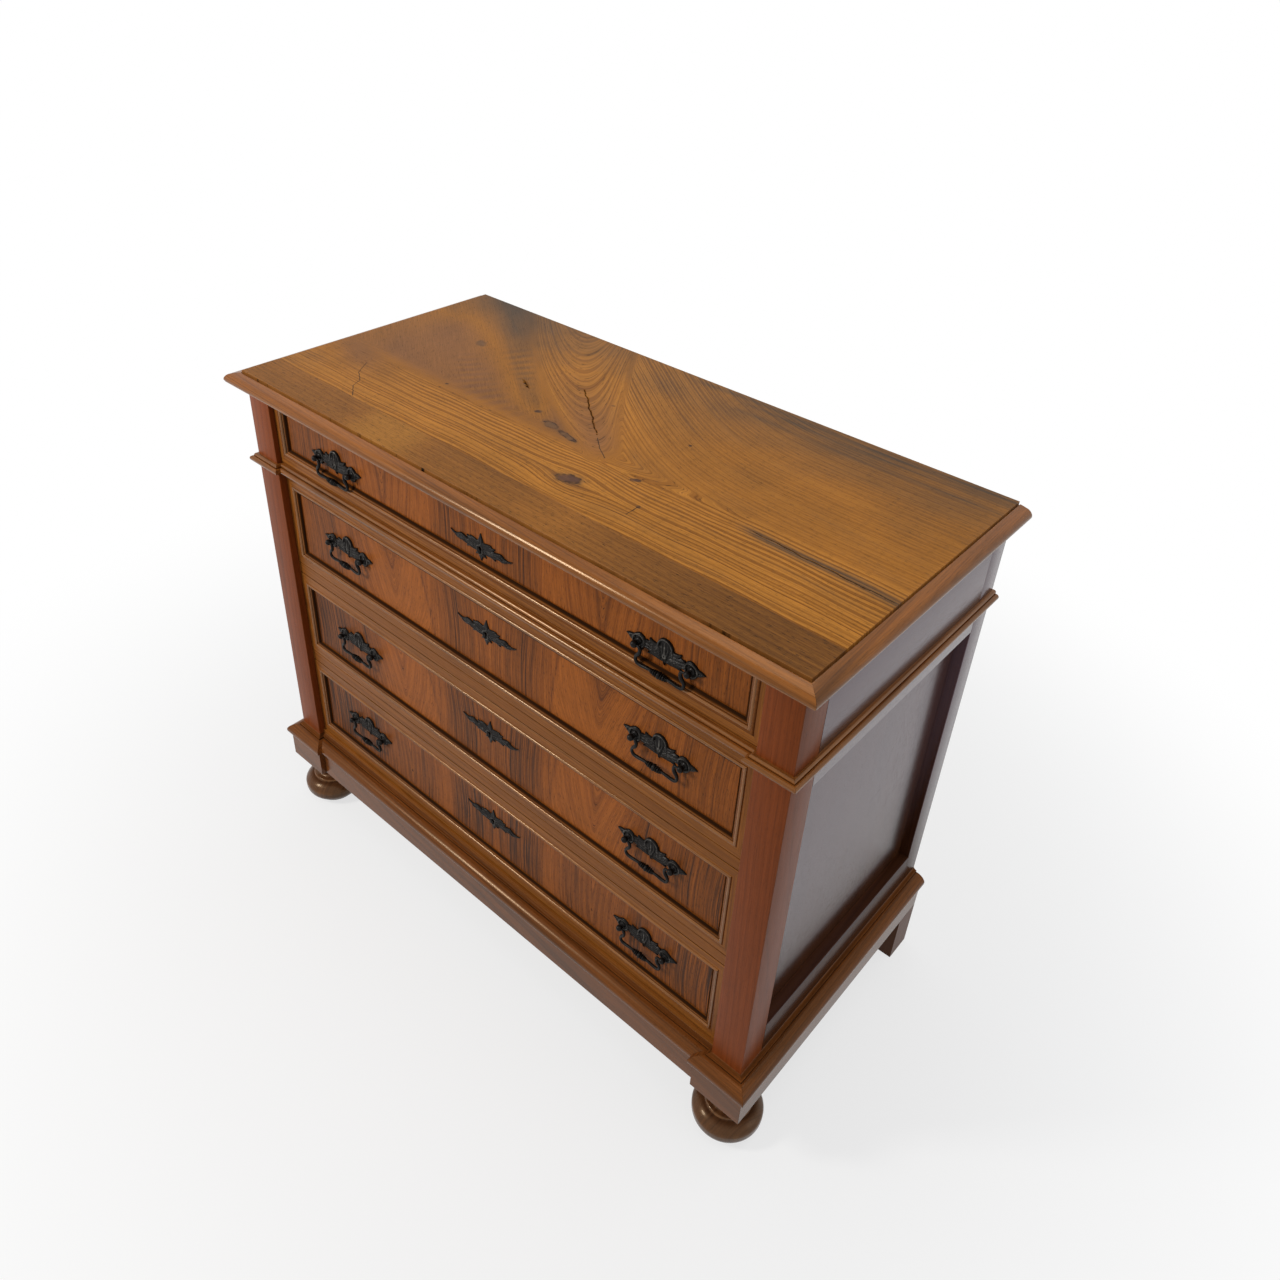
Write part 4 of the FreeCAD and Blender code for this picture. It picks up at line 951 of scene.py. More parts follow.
POST_WALNUT = Wood(
    "walnut_post", "walnut_frame", light=(0.265, 0.060, 0.013), middle=(0.165, 0.036, 0.007),
    dark=(0.065, 0.018, 0.006), rings=120.0, pith=(-0.4, -0.4), wander=0.006, streaks=0.5, cloud=0.24,
    fibre=0.4, rough=0.34, specular=0.10, coat=0.02, coat_rough=0.15,
)
# the sides' violet tint is a painted violet reflection in their sheen
SIDE_WALNUT = Wood(
    "walnut_sides", "walnut_sides", light=(0.085, 0.030, 0.012), middle=(0.052, 0.017, 0.007),
    dark=(0.025, 0.010, 0.005), rings=60.0, pith=(-0.3, -0.4), wander=0.008, streaks=0.4, cloud=0.24,
    rough=0.20, specular=0.62, tint=(0.88, 0.68, 1.0), coat=0.06, shine=0.1, coat_rough=0.12, dull_from=0.16,
)
FOOT_WALNUT = Wood(
    "walnut_feet", "walnut_feet", light=(0.13, 0.050, 0.019), middle=(0.065, 0.024, 0.010),
    dark=(0.03, 0.011, 0.006), rings=140.0, pith=(0.01, 0.0), rough=0.22, specular=0.35, coat=0.05,
    shine=0.3, coat_rough=0.08,
)
DARK_BRONZE = Metal("dark_bronze", "dark_bronze")
STEEL = Metal(
    "steel", "steel", bare=(0.42, 0.41, 0.39), patina=(0.10, 0.085, 0.07),
    rough=0.42, metal=0.4, rub_from=-0.3,
)


def plain_board(name: str, slot: str, along: Along, light: Colour, middle: Colour, gloss: float) -> Wood:
    """A finish for a board of the frame that keeps its own mesh and has its grain along one axis."""
    return Wood(
        name, slot, light=light, middle=middle, dark=(middle[0] * 0.5, middle[1] * 0.45, middle[2] * 0.4),
        axes=along, rings=140.0, pith=(-0.31, -0.27), streaks=0.3, rough=gloss, specular=0.12, coat=0.0,
    )


OAK = (0.42, 0.27, 0.13), (0.33, 0.20, 0.09)
PINE = (0.50, 0.33, 0.16), (0.40, 0.24, 0.10)
CORE_WALNUT = (0.21, 0.070, 0.016), (0.13, 0.040, 0.010)
RAIL_WALNUT = (0.31, 0.105, 0.018), (0.17, 0.051, 0.009)
BLOCK_WALNUT = (0.13, 0.045, 0.02), (0.09, 0.032, 0.014)


# ---------------------------------------------------------------- carcass


@dataclass(frozen=True)
class Span:
    """The lowest and highest corner of a node of the frame."""

    low: Array
    high: Array

    @classmethod
    def of(cls, node: str) -> "Span":
        """The box of one node."""
        low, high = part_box(node)
        return cls(np.array(low), np.array(high))


@dataclass
class ChestTop:
    """The figured main board, the front board and the edge moulding round them.

    knot and tip are the places that the figure parts round and starts from, tongue is the way that
    it runs from the tip, and each crack is given by its two ends and its width.
    """

    ease: float = 0.5 * MM
    front_ease: float = 0.35 * MM
    step: float = 3.3 * MM
    knot: tuple[float, float] = (0.066, -0.1265)
    tip: tuple[float, float] = (0.060, -0.050)
    tongue: tuple[float, float] = (-0.802, 0.597)
    bolt_throw: float = 8.0 * MM
    bolt_room: float = 1.2 * MM
    cracks: tuple[tuple[float, float, float, float, float], ...] = (
        (-0.1170, 0.0986, 0.0114, -0.0100, 1.3 * MM),
        (-0.2110, 0.0540, -0.1770, 0.0346, 1.8 * MM),
        (0.3110, -0.0557, 0.5340, -0.0650, 1.1 * MM),
    )

    def build(self) -> None:
        """Make the three pieces of the top."""
        self.main_board()
        self.front_board()
        self.edge()

    def tongue_places(self, x: Array, y: Array) -> tuple[Array, Array]:
        """Distance back from the tip of the tongue of figure, and distance off its curved middle."""
        c, s = self.tongue
        tx, ty = x - self.tip[0], y - self.tip[1]
        back = tx * c + ty * s
        return back, tx * s - ty * c - 0.30 * back**2

    def figure(self, x: Array, y: Array) -> tuple[Array, Array, Array]:
        """Grain of the main board: straight in front, with a tongue of nested rings behind.

        In front across is y, less a bell of the distance off the knot, so the lines part round it.
        Inside the tongue across is a quarter of back - off squared / w, whose level lines are
        parabolas. To its right the lines run beside it and bend level: y + 0.75 S(x), where S is
        -w ln(1 + exp((x0 - x) / w)). The rings fade where two of these meet, and in the cloudy
        left part, where ripples lie across the grain.

        Args:
            x: Places along the chest.
            y: Places front to back.

        Returns:
            Grain coordinates, heartwood with painted shade along the back and at the left end, and how
            far the rings fade.
        """
        dx, dy = x - self.knot[0], y - self.knot[1]
        bell = np.exp(-((dx / 0.060) ** 2) - (dy / 0.038) ** 2)
        front = y - 0.85 * dy * bell + 1.4 * MM * np.sin(x * 13 + 2 * y) + 0.9 * MM * np.sin(x * 41 + y * 60)
        bend = -0.06 * np.log1p(np.exp((0.15 - x) / 0.06))
        right = y + 0.75 * bend
        back, off = self.tongue_places(x, y)
        half = 0.022 + 0.18 * np.maximum(back, 0)
        nested = 0.22 * (back - off**2 / (0.013 + 0.03 * np.maximum(back, 0))) - 0.05
        inside = smooth(back, -0.012, 0.020) * smooth(half - np.abs(off), -0.008, 0.008)
        behind = smooth(y, -0.062 + 0.02 * smooth(x, 0.1, 0.3), -0.030)
        across = front + (right - front) * behind
        across += (nested - across) * inside
        left = smooth(-off, 0.02, 0.07) * smooth(y, -0.075, -0.02) * (1 - inside)
        far_left = smooth(-x + 0.03 * np.sin(y * 40), 0.30, 0.50) * smooth(y + 0.1 * x, -0.20, -0.10)
        left = np.maximum(left, far_left)
        calm = 0.85 * left + 3.2 * inside * (1 - inside) + 0.62 * behind * smooth(x, -0.1, 0.15)
        calm += 2.4 * behind * (1 - behind) * smooth(-x, -0.14, 0.0)
        calm += 0.2 * inside + 0.25 * smooth(back, 0.2, 0.4)

        sway = 2.0 * np.sin(off * 22) + 1.1 * np.sin(back * 31 + off * 20)
        ripple = np.sin(back * math.tau / 0.0225 + sway)
        rippled = smooth(-off, 0.075, 0.10) * smooth(off, -0.235, -0.19) * smooth(back, 0.10, 0.16)
        rippled *= smooth(-back, -0.43, -0.36)
        patch = np.sin(x * 23 + 3 * np.sin(y * 17)) * np.sin(y * 29 + 2 * np.sin(x * 13))
        fade = 0.5 + 0.5 * np.sin(off * 61 + back * 23)
        heart = -0.75 * left * (1 + 0.25 * patch) + 0.22 * ripple * rippled * left * fade
        core = smooth(half - np.abs(off), -0.035, 0.03) * smooth(back, -0.03, 0.05)
        heart -= 0.72 * core * smooth(-back, -0.42, -0.05)
        beside = np.exp(-(((off + half + 0.022) / (0.020 + 0.07 * np.maximum(back, 0))) ** 2))
        heart += (0.85 * left + 0.25) * beside * smooth(back, 0.08, 0.22)
        # painted shade: the back of the board darkens across its width, and its far left end too
        heart += 0.60 * smooth(y, 0.06, 0.24) * smooth(x, -0.35, 0.05) + 0.12 * patch * behind
        heart += (0.74 + 0.15 * np.sin(x * 9)) * smooth(y, 0.08, 0.24) * smooth(-x, 0.05, 0.30)
        heart += 0.25 * smooth(-x, 0.44, 0.53)
        for level, size, low, high, depth in (
            (0.256, 0.007, -0.03, 0.02, 0.45),
            (0.240, 0.005, 0.05, 0.12, 0.35),
            (0.213, 0.005, 0.08, 0.10, 0.25),
        ):
            wave = level + 0.004 * np.sin(x * 15)
            heart += depth * np.exp(-(((y - wave) / size) ** 2)) * smooth(x, low, high)
        band = y + 0.057 + 0.03 * (x - 0.31) - 0.0025 * np.sin(x * 30)
        heart += 1.0 * np.exp(-((band / 0.010) ** 2)) * smooth(x, 0.285, 0.34)
        heart += 0.30 * np.exp(-((dx / 0.030) ** 2) - (dy / 0.016) ** 2)
        across += 0.35 * band * np.exp(-((band / 0.02) ** 2)) * smooth(x, 0.25, 0.31)
        return np.stack([x, across, 0 * x], -1), heart, np.clip(calm, 0, 1)

    def crack_depth(self, x: Array, y: Array) -> Array:
        """Depth of the drying cracks: a V along each line, thinning to its ends.

        Args:
            x: Places along the chest.
            y: Places front to back.

        Returns:
            Depth from 0 to 1 of a crack at each place.
        """
        depth = np.zeros(np.broadcast(x, y).shape)
        for x0, y0, x1, y1, wide in self.cracks:
            run = np.array([x1 - x0, y1 - y0])
            length = np.linalg.norm(run)
            run /= length
            t = ((x - x0) * run[0] + (y - y0) * run[1]) / length
            waver = 0.9 * MM * np.sin(t * 19) + 0.6 * MM * np.sin(t * 47 + 1)
            off = np.abs(-(x - x0) * run[1] + (y - y0) * run[0] + waver)
            half = wide * np.sqrt(np.clip(4 * t * (1 - t), 0, 1))
            depth = np.maximum(depth, np.clip(1 - off / np.maximum(half, 1e-6), 0, 1) * (half > 1e-5))
        return depth

    def main_board(self) -> None:
        """The main board, with its cracks cut in and a faint hollow across its middle."""
        node = Span.of("top_board")
        (left, front, _), (right, back, _) = node.low, node.high
        cracked_x = [(-0.053, 0.066, 1.8 * MM)]
        cracked_y = [(0.045, 0.058, 1.4 * MM), (-0.0605, 0.009, 0.8 * MM)]
        x = spread(left, right, self.step, near(left, right) + cracked_x)
        y = spread(front, back, 2.4 * MM, near(front, back) + cracked_y)
        u, v = np.meshgrid(x, y, indexing="ij")
        distance = within(u, v, node.low, node.high)
        crack = self.crack_depth(u, v)
        height = node.high[2] + eased_edge(distance, self.ease) - 2.2 * MM * crack
        height -= 0.25 * MM * np.sin((u + 0.6) * 5.1) * np.sin((v + 0.3) * 6.3) + 0.25 * MM
        grain, heart, calm = self.figure(u, v)
        wear = 0.8 * smooth(-distance, -1.4 * MM, -0.3 * MM) - 1.6 * crack
        shell = Shell()
        shell.slab(TOP.place(u, v, height), TOP.place(u, v, node.low[2]), grain, heart, wear, calm)
        shell.piece("top_main_board", "carcass", TOP_WALNUT, ["top_board"])

    def front_board(self) -> None:
        """The darker board along the front, with its grain along the chest.

        A pocket in its underside leaves room for the top drawer's bolt when that is thrown.
        """
        node, bolt = Span.of("top_front_board"), Span.of("drawer_1_lock_bolt")
        low = np.maximum(bolt.low - self.bolt_room, node.low + 2 * MM)
        high = np.minimum(bolt.high + self.bolt_room, node.high - 2 * MM)
        grid = []
        for axis, step in ((0, 8 * MM), (1, 3 * MM)):
            ends, walls = (node.low[axis], node.high[axis]), (low[axis], high[axis])
            grid.append(spread(*ends, step, near(*ends) + near(*walls, half=0.2 * MM, step=0.2 * MM)))
        u, v = np.meshgrid(*grid, indexing="ij")
        pocket = bolt.high[2] + self.bolt_throw + 1.0 * MM
        underside = np.where(within(u, v, low, high) > 0.05 * MM, pocket, node.low[2])
        distance = within(u, v, node.low, node.high)
        points = TOP.place(u, v, node.high[2] + eased_edge(distance, self.front_ease) - 0.1 * MM)
        wear = 0.8 * smooth(-distance, -1.4 * MM, -0.3 * MM)
        pale = np.exp(-(((u + 0.215 + 0.2 * (v + 0.21)) / 0.07) ** 4))
        heart = 0.15 + 0.40 * smooth(u, -0.1, 0.5) - 0.95 * pale
        heart -= 0.35 * np.exp(-(((u - 0.13) / 0.05) ** 2))
        grain = grain_of(points, Along.X, (0.3, 0.7, -0.9))
        shell = Shell()
        shell.slab(points, TOP.place(u, v, underside), grain, heart, wear, carved=True)
        shell.piece("top_front_strip", "carcass", TOP_FRONT_WALNUT, ["top_front_board"])

    def edge(self) -> None:
        """The nosed edge: a slope from a quirk below the board's arris, a nose and a bead under it."""
        node, board = Span.of("top_edge_moulding"), Span.of("top_board")
        front = Span.of("top_front_board").low[1]
        width = front - node.low[1]
        height = board.high[2] - node.low[2]
        crest, quirk = node.high[2] - node.low[2], 1.2 * MM
        section = outline(
            (0, 0), (0.84 * width, 0), (0.93 * width, 0.05 * height, 0.92 * width, 0.13 * height),
            (0.99 * width, 0.15 * height), (width, 0.19 * height), (width, 0.3 * height),
            (0.84 * width, 0.57 * height, 0.5 * width, 0.72 * height),
            (0.25 * width, 0.775 * height, quirk + 0.5 * MM, crest - 0.05 * MM),
            (quirk, crest - 0.5 * MM), (quirk, crest - 1.6 * MM), (0, crest - 1.6 * MM),
        )
        x, back, level = board.high[0], node.high[1], node.low[2]
        corners = np.array([(-x, back, level), (-x, front, level), (x, front, level), (x, back, level)])
        shell = Shell()
        mitred_run(shell, section, corners, Z, (Along.Y, Along.X, Along.Y), seed=0.4)
        shell.piece("top_nosing", "carcass", MOULDING_WALNUT, ["top_edge_moulding"])


@dataclass
class Mouldings:
    """The waist moulding and the plinth, both breaking forward round the posts.

    body and opening are half widths; recesses tell how far the middle lies behind the posts.
    """

    body: float
    opening: float
    back: float
    face: float
    waist_recess: float = 8.5 * MM
    plinth_recess: float = 9.0 * MM
    plinth_board: float = 18.5 * MM
    plinth_flat: float = 53.0 * MM
    grains: tuple[Along, ...] = (Along.Y, Along.X, Along.Y, Along.X, Along.Y, Along.X, Along.Y)

    def path(self, recess: float, level: float) -> Array:
        """Plan of a moulding round the sides, both posts and the set-back middle.

        Args:
            recess: How far the middle lies behind the posts.
            level: Height of the section's foot.

        Returns:
            Corners from the back left to the back right.
        """
        half = [
            (self.body, self.back, level), (self.body, self.face, level),
            (self.opening, self.face, level), (self.opening, self.face + recess, level),
        ]
        left = [(-px, py, pz) for px, py, pz in half]
        return np.array(left + half[::-1])

    def waist(self) -> None:
        """A nose with a light upper face and a small bead above it."""
        node = Span.of("waist_moulding")
        out, rise = self.face - node.low[1], node.high[2] - node.low[2]
        section = outline(
            (0, 0), (0.45 * out, 0.04 * rise), (0.85 * out, 0.14 * rise, out, 0.44 * rise),
            (0.85 * out, 0.62 * rise, 0.6 * out, 0.68 * rise), (0.5 * out, 0.66 * rise),
            (0.5 * out, 0.74 * rise), (0.44 * out, 0.92 * rise, 0.26 * out, rise), (0, rise),
        )
        shell = Shell()
        mitred_run(shell, section, self.path(self.waist_recess, node.low[2]), Z, self.grains, seed=1.3)
        shell.piece("waist_nosing", "carcass", MOULDING_WALNUT, ["waist_moulding"])

    def plinth(self) -> None:
        """Tall flat boards with an undercut nose, a long rounded slope and a hollow on top."""
        node = Span.of("plinth_sides")
        nose, rise = node.high[0] - self.body, node.high[2] - node.low[2]
        board, flat = self.plinth_board, self.plinth_flat
        crown = rise - flat
        section = outline(
            (0, 0), (board - MM, 0), (board - 0.3 * MM, 0.3 * MM, board, MM), (board, flat),
            (0.86 * board, flat + 0.06 * crown, board, flat + 0.13 * crown),
            (nose, flat + 0.2 * crown, nose, flat + 0.38 * crown),
            (0.74 * nose, flat + 0.65 * crown, 0.3 * nose, flat + 0.76 * crown),
            (0.24 * nose, flat + 0.76 * crown), (0.24 * nose, flat + 0.87 * crown),
            (0.07 * nose, flat + 0.92 * crown, 0, rise),
        )
        section[:, 0] = np.minimum(section[:, 0], nose)
        shell = Shell()
        mitred_run(shell, section, self.path(self.plinth_recess, node.low[2]), Z, self.grains, seed=2.1)
        shell.piece("plinth_moulding", "carcass", PLINTH_WALNUT, ["plinth_front", "plinth_sides"])


@dataclass
class Carcass:
    """Posts, side frames and rails, and the plain boards inside."""

    ease: float = 1.0 * MM
    back_post: float = 44 * MM
    rail: float = 30 * MM
    tongue: float = 8 * MM

    def build(self) -> None:
        """Make the posts and sides and dress the boards that keep their meshes."""
        post, back = Span.of("front_post_right"), Span.of("back_posts")
        self.posts(post, back)
        self.side_frames(post, back)
        mouldings = Mouldings(post.high[0], post.low[0], back.high[1], post.low[1])
        mouldings.waist()
        mouldings.plinth()
        self.dress()

    def posts(self, post: Span, back: Span) -> None:
        """The four posts, with their edges eased by use."""
        for label, side in (("left", -1), ("right", 1)):
            low, high = sorted((post.low[0] * side, post.high[0] * side))
            shell = Shell()
            eased_bar(shell, (low, post.low[1], post.low[2]), (high, post.high[1], post.high[2]),
                      Along.Z, self.ease, (0.2 * side, 0.31 * side, 0.1))
            shell.piece(f"corner_post_{label}", "carcass", POST_WALNUT, [f"front_post_{label}"])
        shell = Shell()
        front, rear = back.high[1] - self.back_post, back.high[1]
        for side in (-1, 1):
            low, high = sorted(((back.high[0] - self.back_post) * side, back.high[0] * side))
            eased_bar(shell, (low, front, back.low[2]), (high, rear, back.high[2]),
                      Along.Z, self.ease, (0.5 * side, 0.11 * side, 0.3))
        shell.piece("rear_post_pair", "carcass", SIDE_WALNUT, ["back_posts"])

    def side_frames(self, post: Span, back: Span) -> None:
        """The upper and lower rail and the sunk panel of each side."""
        rails = Span.of("side_rails")
        panel = Span.of("side_panel_right")
        inner = rails.high[0] - self.rail
        low_top, high_bottom = panel.low[2] + self.tongue, panel.high[2] - self.tongue
        front, rear = post.high[1], back.high[1] - self.back_post
        shell = Shell()
        for side in (-1, 1):
            xs = sorted((inner * side, rails.high[0] * side))
            for number, (bottom, top) in enumerate(((rails.low[2], low_top), (high_bottom, rails.high[2]))):
                eased_bar(shell, (xs[0], front, bottom), (xs[1], rear, top), Along.Y, 0.6 * MM,
                          (0.7 * side, 0.4 * number, 0.2 * side), rub=0.25)
        shell.piece("side_frame_rails", "carcass", SIDE_WALNUT, ["side_rails"])
        for label, side, plane in (("left", -1, LEFT), ("right", 1, RIGHT)):
            u = spread(panel.low[1], panel.high[1], 12 * MM)
            v = spread(panel.low[2], panel.high[2], 12 * MM)
            y, z = np.meshgrid(u, v, indexing="ij")
            swell = 0.35 * MM * np.sin(y * 9 + 1.1 * side) * np.sin(z * 7)
            edge = within(y, z, (front, low_top), (rear, high_bottom))
            points = plane.place(y * side, z, panel.high[0] + swell)
            base = plane.place(y * side, z, panel.low[0])
            shell = Shell()
            # the panel darkens within 6 mm of the rails round it
            shell.slab(points, base, grain_of(points, Along.Z, (0.9, 0.2 * side, 0.0)),
                       wear=-0.5 * smooth(-edge, -6 * MM, 0.0))
            shell.piece(f"side_sunk_panel_{label}", "carcass", SIDE_WALNUT, [f"side_panel_{label}"])

    def dress(self) -> None:
        """Give the boards that keep their meshes their wood."""
        walnut_x = plain_board("walnut_rail", "walnut_frame", Along.X, *RAIL_WALNUT, 0.36)
        pine_z = plain_board("pine_upright", "pine", Along.Z, *PINE, 0.6)
        pine_y = plain_board("pine_runner", "pine", Along.Y, *PINE, 0.55)
        pine_x = plain_board("pine_rail", "pine", Along.X, *PINE, 0.6)
        foot_z = plain_board("walnut_block_foot", "walnut_feet", Along.Z, *BLOCK_WALNUT, 0.4)
        front_rails = ("drawer_blade_1", "drawer_blade_2", "drawer_blade_3", "bottom_rail", "top_front_rail")
        for finish, nodes in (
            (walnut_x, front_rails),
            (pine_z, ("back_boards",)),
            (pine_y, ("drawer_runners", "kickers")),
            (pine_x, ("back_rails",)),
            (foot_z, ("rear_feet",)),
        ):
            dress_nodes(finish, nodes)


def dress_nodes(finish: Finish, nodes: Iterable[str]) -> None:
    """Put a finish on nodes of the frame that keep their own meshes.

    Args:
        finish: The finish.
        nodes: Names of the nodes.
    """
    for name in nodes:
        node = frame["nodes"][name]
        node.data.materials.clear()
        node.data.materials.append(finish.material())


@dataclass
class BunFoot:
    """A turned foot: a low disc, a full bun with a rim ring, a neck and a spigot."""

    label: str
    centre: float
    setback: float
    widest: float = 55.95 * MM
    around: int = 96
    # painted shade under the bun and on the neck; rubbing and painted highlight on the edge and rim ring
    rub_and_painted_light_heights: tuple[float, ...] = (0, 8, 26, 32, 40, 48, 51, 54, 62, 98)
    rub_and_painted_light_levels: tuple[float, ...] = (0, -0.5, 0.2, 0.7, 0.1, -0.4, 1.0, 0.3, -0.9, -0.9)

    def build(self) -> None:
        """Turn the section about the foot's upright axis."""
        section = outline(
            (39.0, 0.0), (40.4, 0.6), (41.0, 2.0), (41.0, 7.4), (52.0, 14.0, 55.9, 26.5),
            (55.9, 32.0, 52.4, 38.4), (45.5, 44.6, 38.0, 48.0), (37.2, 48.5), (37.6, 51.0, 35.6, 53.2),
            (33.2, 53.6), (27.4, 56.0, 25.2, 63.0), (27.2, 84.0, 33.9, 98.0), (12.0, 98.0), (12.0, 128.0),
        ) * MM
        radius, height = np.minimum(section[:, :1], self.widest), section[:, 1:]
        turn = np.linspace(0, math.tau, self.around, endpoint=False)
        loops = TOP.place(self.centre + radius * np.cos(turn), self.setback + radius * np.sin(turn), height)
        wear = np.interp(section[:, 1] / MM, self.rub_and_painted_light_heights, self.rub_and_painted_light_levels)
        shell = Shell()
        shell.tube(loops, grain_of(loops, Along.Z, (0.3, self.centre, 0)), wear=wear[:, None])
        replaced = [f"bun_foot_{self.label}"]
        shell.piece(f"turned_foot_{self.label}", "carcass", FOOT_WALNUT, replaced, crease=40)


# ---------------------------------------------------------------- brasses


@dataclass(frozen=True)
class Stroke:
    """One modelled lobe of a casting: discs strung along a smooth line, domed across.

    knots are x, z and radius in millimetres; height is the dome's rise at full radius; vein is the
    share of the height that a groove along the middle takes away.
    """

    knots: tuple[tuple[float, float, float], ...]
    height: float = 1.6
    vein: float = 0.0
    lift: float = 0.0

    def discs(self, count: int = 28) -> Array:
        """Discs along the line: each run between knots is a cubic whose slopes are its neighbours'."""
        knots = np.asarray(self.knots, float)
        padded = np.concatenate([[2 * knots[0] - knots[1]], knots, [2 * knots[-1] - knots[-2]]])
        place = np.linspace(0, len(knots) - 1 - 1e-9, count)
        run, t = place.astype(int), (place % 1)[:, None]
        a, b, c, d = (padded[run + i] for i in range(4))
        curve = 2 * b + (c - a) * t + (2 * a - 5 * b + 4 * c - d) * t**2 + (3 * b - a - 3 * c + d) * t**3
        curve = curve / 2
        curve[:, 2] = np.maximum(curve[:, 2], 0.25)
        return curve

    def measure(self, x: Array, z: Array) -> tuple[Array, Array]:
        """Distance inside the lobe and its height at each place.

        Args:
            x: Places across, in millimetres.
            z: Places up, in millimetres.

        Returns:
            The distance to the lobe's edge, above 0 inside, and the height.
        """
        discs = self.discs()
        reach = np.hypot(x[..., None] - discs[:, 0], z[..., None] - discs[:, 1])
        inside = discs[:, 2] - reach
        best = np.argmax(inside, -1)
        edge = np.take_along_axis(inside, best[..., None], -1)[..., 0]
        share = np.clip((inside / discs[:, 2]), 0, 1).max(-1)
        dome = np.sqrt(np.clip(1 - (1 - share) ** 2, 0, 1))
        size = np.sqrt(discs[best, 2] / discs[:, 2].max())
        groove = self.vein * np.exp(-(((1 - share) / 0.22) ** 2))
        return edge, (self.height * size * dome * (1 - groove) + self.lift) * (edge > 0)


def both(*strokes: Stroke) -> list[Stroke]:
    """The strokes and their mirror images in x."""
    flipped = [
        Stroke(tuple((-x, z, r) for x, z, r in s.knots), s.height, s.vein, s.lift) for s in strokes
    ]
    return list(strokes) + flipped


@dataclass
class Casting:
    """A cut-out plate in relief: the union of its strokes, less its holes."""

    strokes: list[Stroke]
    width: float
    low: float
    high: float
    plate: float = 1.2
    step: float = 0.75
    holes: Callable[[Array, Array], Array] | None = None

    def measure(self, x: Array, z: Array) -> tuple[Array, Array]:
        """Distance inside the plate's outline and its height, in millimetres.

        Args:
            x: Places across.
            z: Places up.

        Returns:
            The distance to the outline, above 0 inside, and the height.
        """
        edge, height = np.full(x.shape, -99.0), np.zeros(x.shape)
        for stroke in self.strokes:
            one_edge, one_height = stroke.measure(x, z)
            edge, height = np.maximum(edge, one_edge), np.maximum(height, one_height)
        if self.holes:
            edge = np.minimum(edge, self.holes(x, z))
        return edge, height + self.plate

    def add_to(self, shell: Shell, origin: Array) -> None:
        """Add the plate to a shell, facing the front.

        A grid is laid over the plate. Its points that lie just outside the outline are moved to it
        along the outline's slope, and its cells that hold no inner point are left out. The rim
        gets a wall down to the flat back.

        Args:
            shell: Shell that takes the plate.
            origin: Middle of the plate's back.
        """
        x, z = np.meshgrid(
            np.arange(-self.width / 2 - 2, self.width / 2 + 2.01, self.step),
            np.arange(self.low - 2, self.high + 2.01, self.step), indexing="ij",
        )
        edge, _ = self.measure(x, z)
        inside = edge > 0
        cells = inside[:-1, :-1] | inside[1:, :-1] | inside[:-1, 1:] | inside[1:, 1:]
        index = np.arange(x.size).reshape(x.shape)
        quads = np.stack([index[:-1, :-1], index[1:, :-1], index[1:, 1:], index[:-1, 1:]], -1)[cells]
        used = np.unique(quads)
        px, pz = x.ravel()[used], z.ravel()[used]
        outer = ~inside.ravel()[used]
        small = 0.05
        for _ in range(3):
            e = self.measure(px, pz)[0]
            gx = (self.measure(px + small, pz)[0] - e) / small
            gz = (self.measure(px, pz + small)[0] - e) / small
            size = np.maximum(gx**2 + gz**2, 0.3)
            px = np.where(outer, px - e * gx / size, px)
            pz = np.where(outer, pz - e * gz / size, pz)
        height = self.measure(px, pz)[1]
        height = np.where(outer, self.plate, height)
        number = np.full(x.size, -1)
        number[used] = np.arange(len(used))
        quads = number[quads]
        edges = np.stack([quads, np.roll(quads, -1, 1)], -1).reshape(-1, 2)
        keys = np.sort(edges, 1)
        _, first, times = np.unique(keys, axis=0, return_index=True, return_counts=True)
        rim = edges[first[times == 1]]
        back = len(used)
        walls = np.stack([rim[:, 0], rim[:, 0] + back, rim[:, 1] + back, rim[:, 1]], -1)
        faces = np.concatenate([quads, quads[:, ::-1] + back, walls]).tolist()
        face = FRONT.place(px * MM, pz * MM, height * MM) + origin
        rear = FRONT.place(px * MM, pz * MM, np.full(len(px), -0.3 * MM)) + origin
        points = np.concatenate([face, rear])
        wear = np.clip((height - self.plate) / 2.6, 0, 1)
        shell.add(points, faces, points, wear=np.concatenate([wear, wear * 0]))


def lathe(shell: Shell, profile: Array, start: Array, axis: Array, around: int = 24,
          lobes: int = 0, depth: float = 0.0, wear: float = 0.6) -> None:
    """Turn a profile about an axis: radius against distance, with lobes round it if asked.

    The radius is scaled by 1 + depth times the cosine of lobes times the turn.

    Args:
        shell: Shell that takes the turned form.
        profile: Rows of distance along the axis and radius.
        start: Point on the axis where distance is 0.
        axis: Direction of the axis.
        around: Points in a turn.
        lobes: Number of lobes.
        depth: Depth of the lobes.
        wear: Wear of the whole form.
    """
    helper = Z if abs(axis[2]) < 0.9 else X
    first = np.cross(axis, helper)
    first /= np.linalg.norm(first)
    second = np.cross(axis, first)
    turn = np.linspace(0, math.tau, around, endpoint=False)
    scale = 1 + depth * np.cos(lobes * turn)
    radius = profile[:, 1][:, None] * scale
    loops = (
        start + profile[:, 0][:, None, None] * axis
        + (radius * np.cos(turn))[..., None] * first + (radius * np.sin(turn))[..., None] * second
    )
    shell.tube(loops, loops, wear=wear)


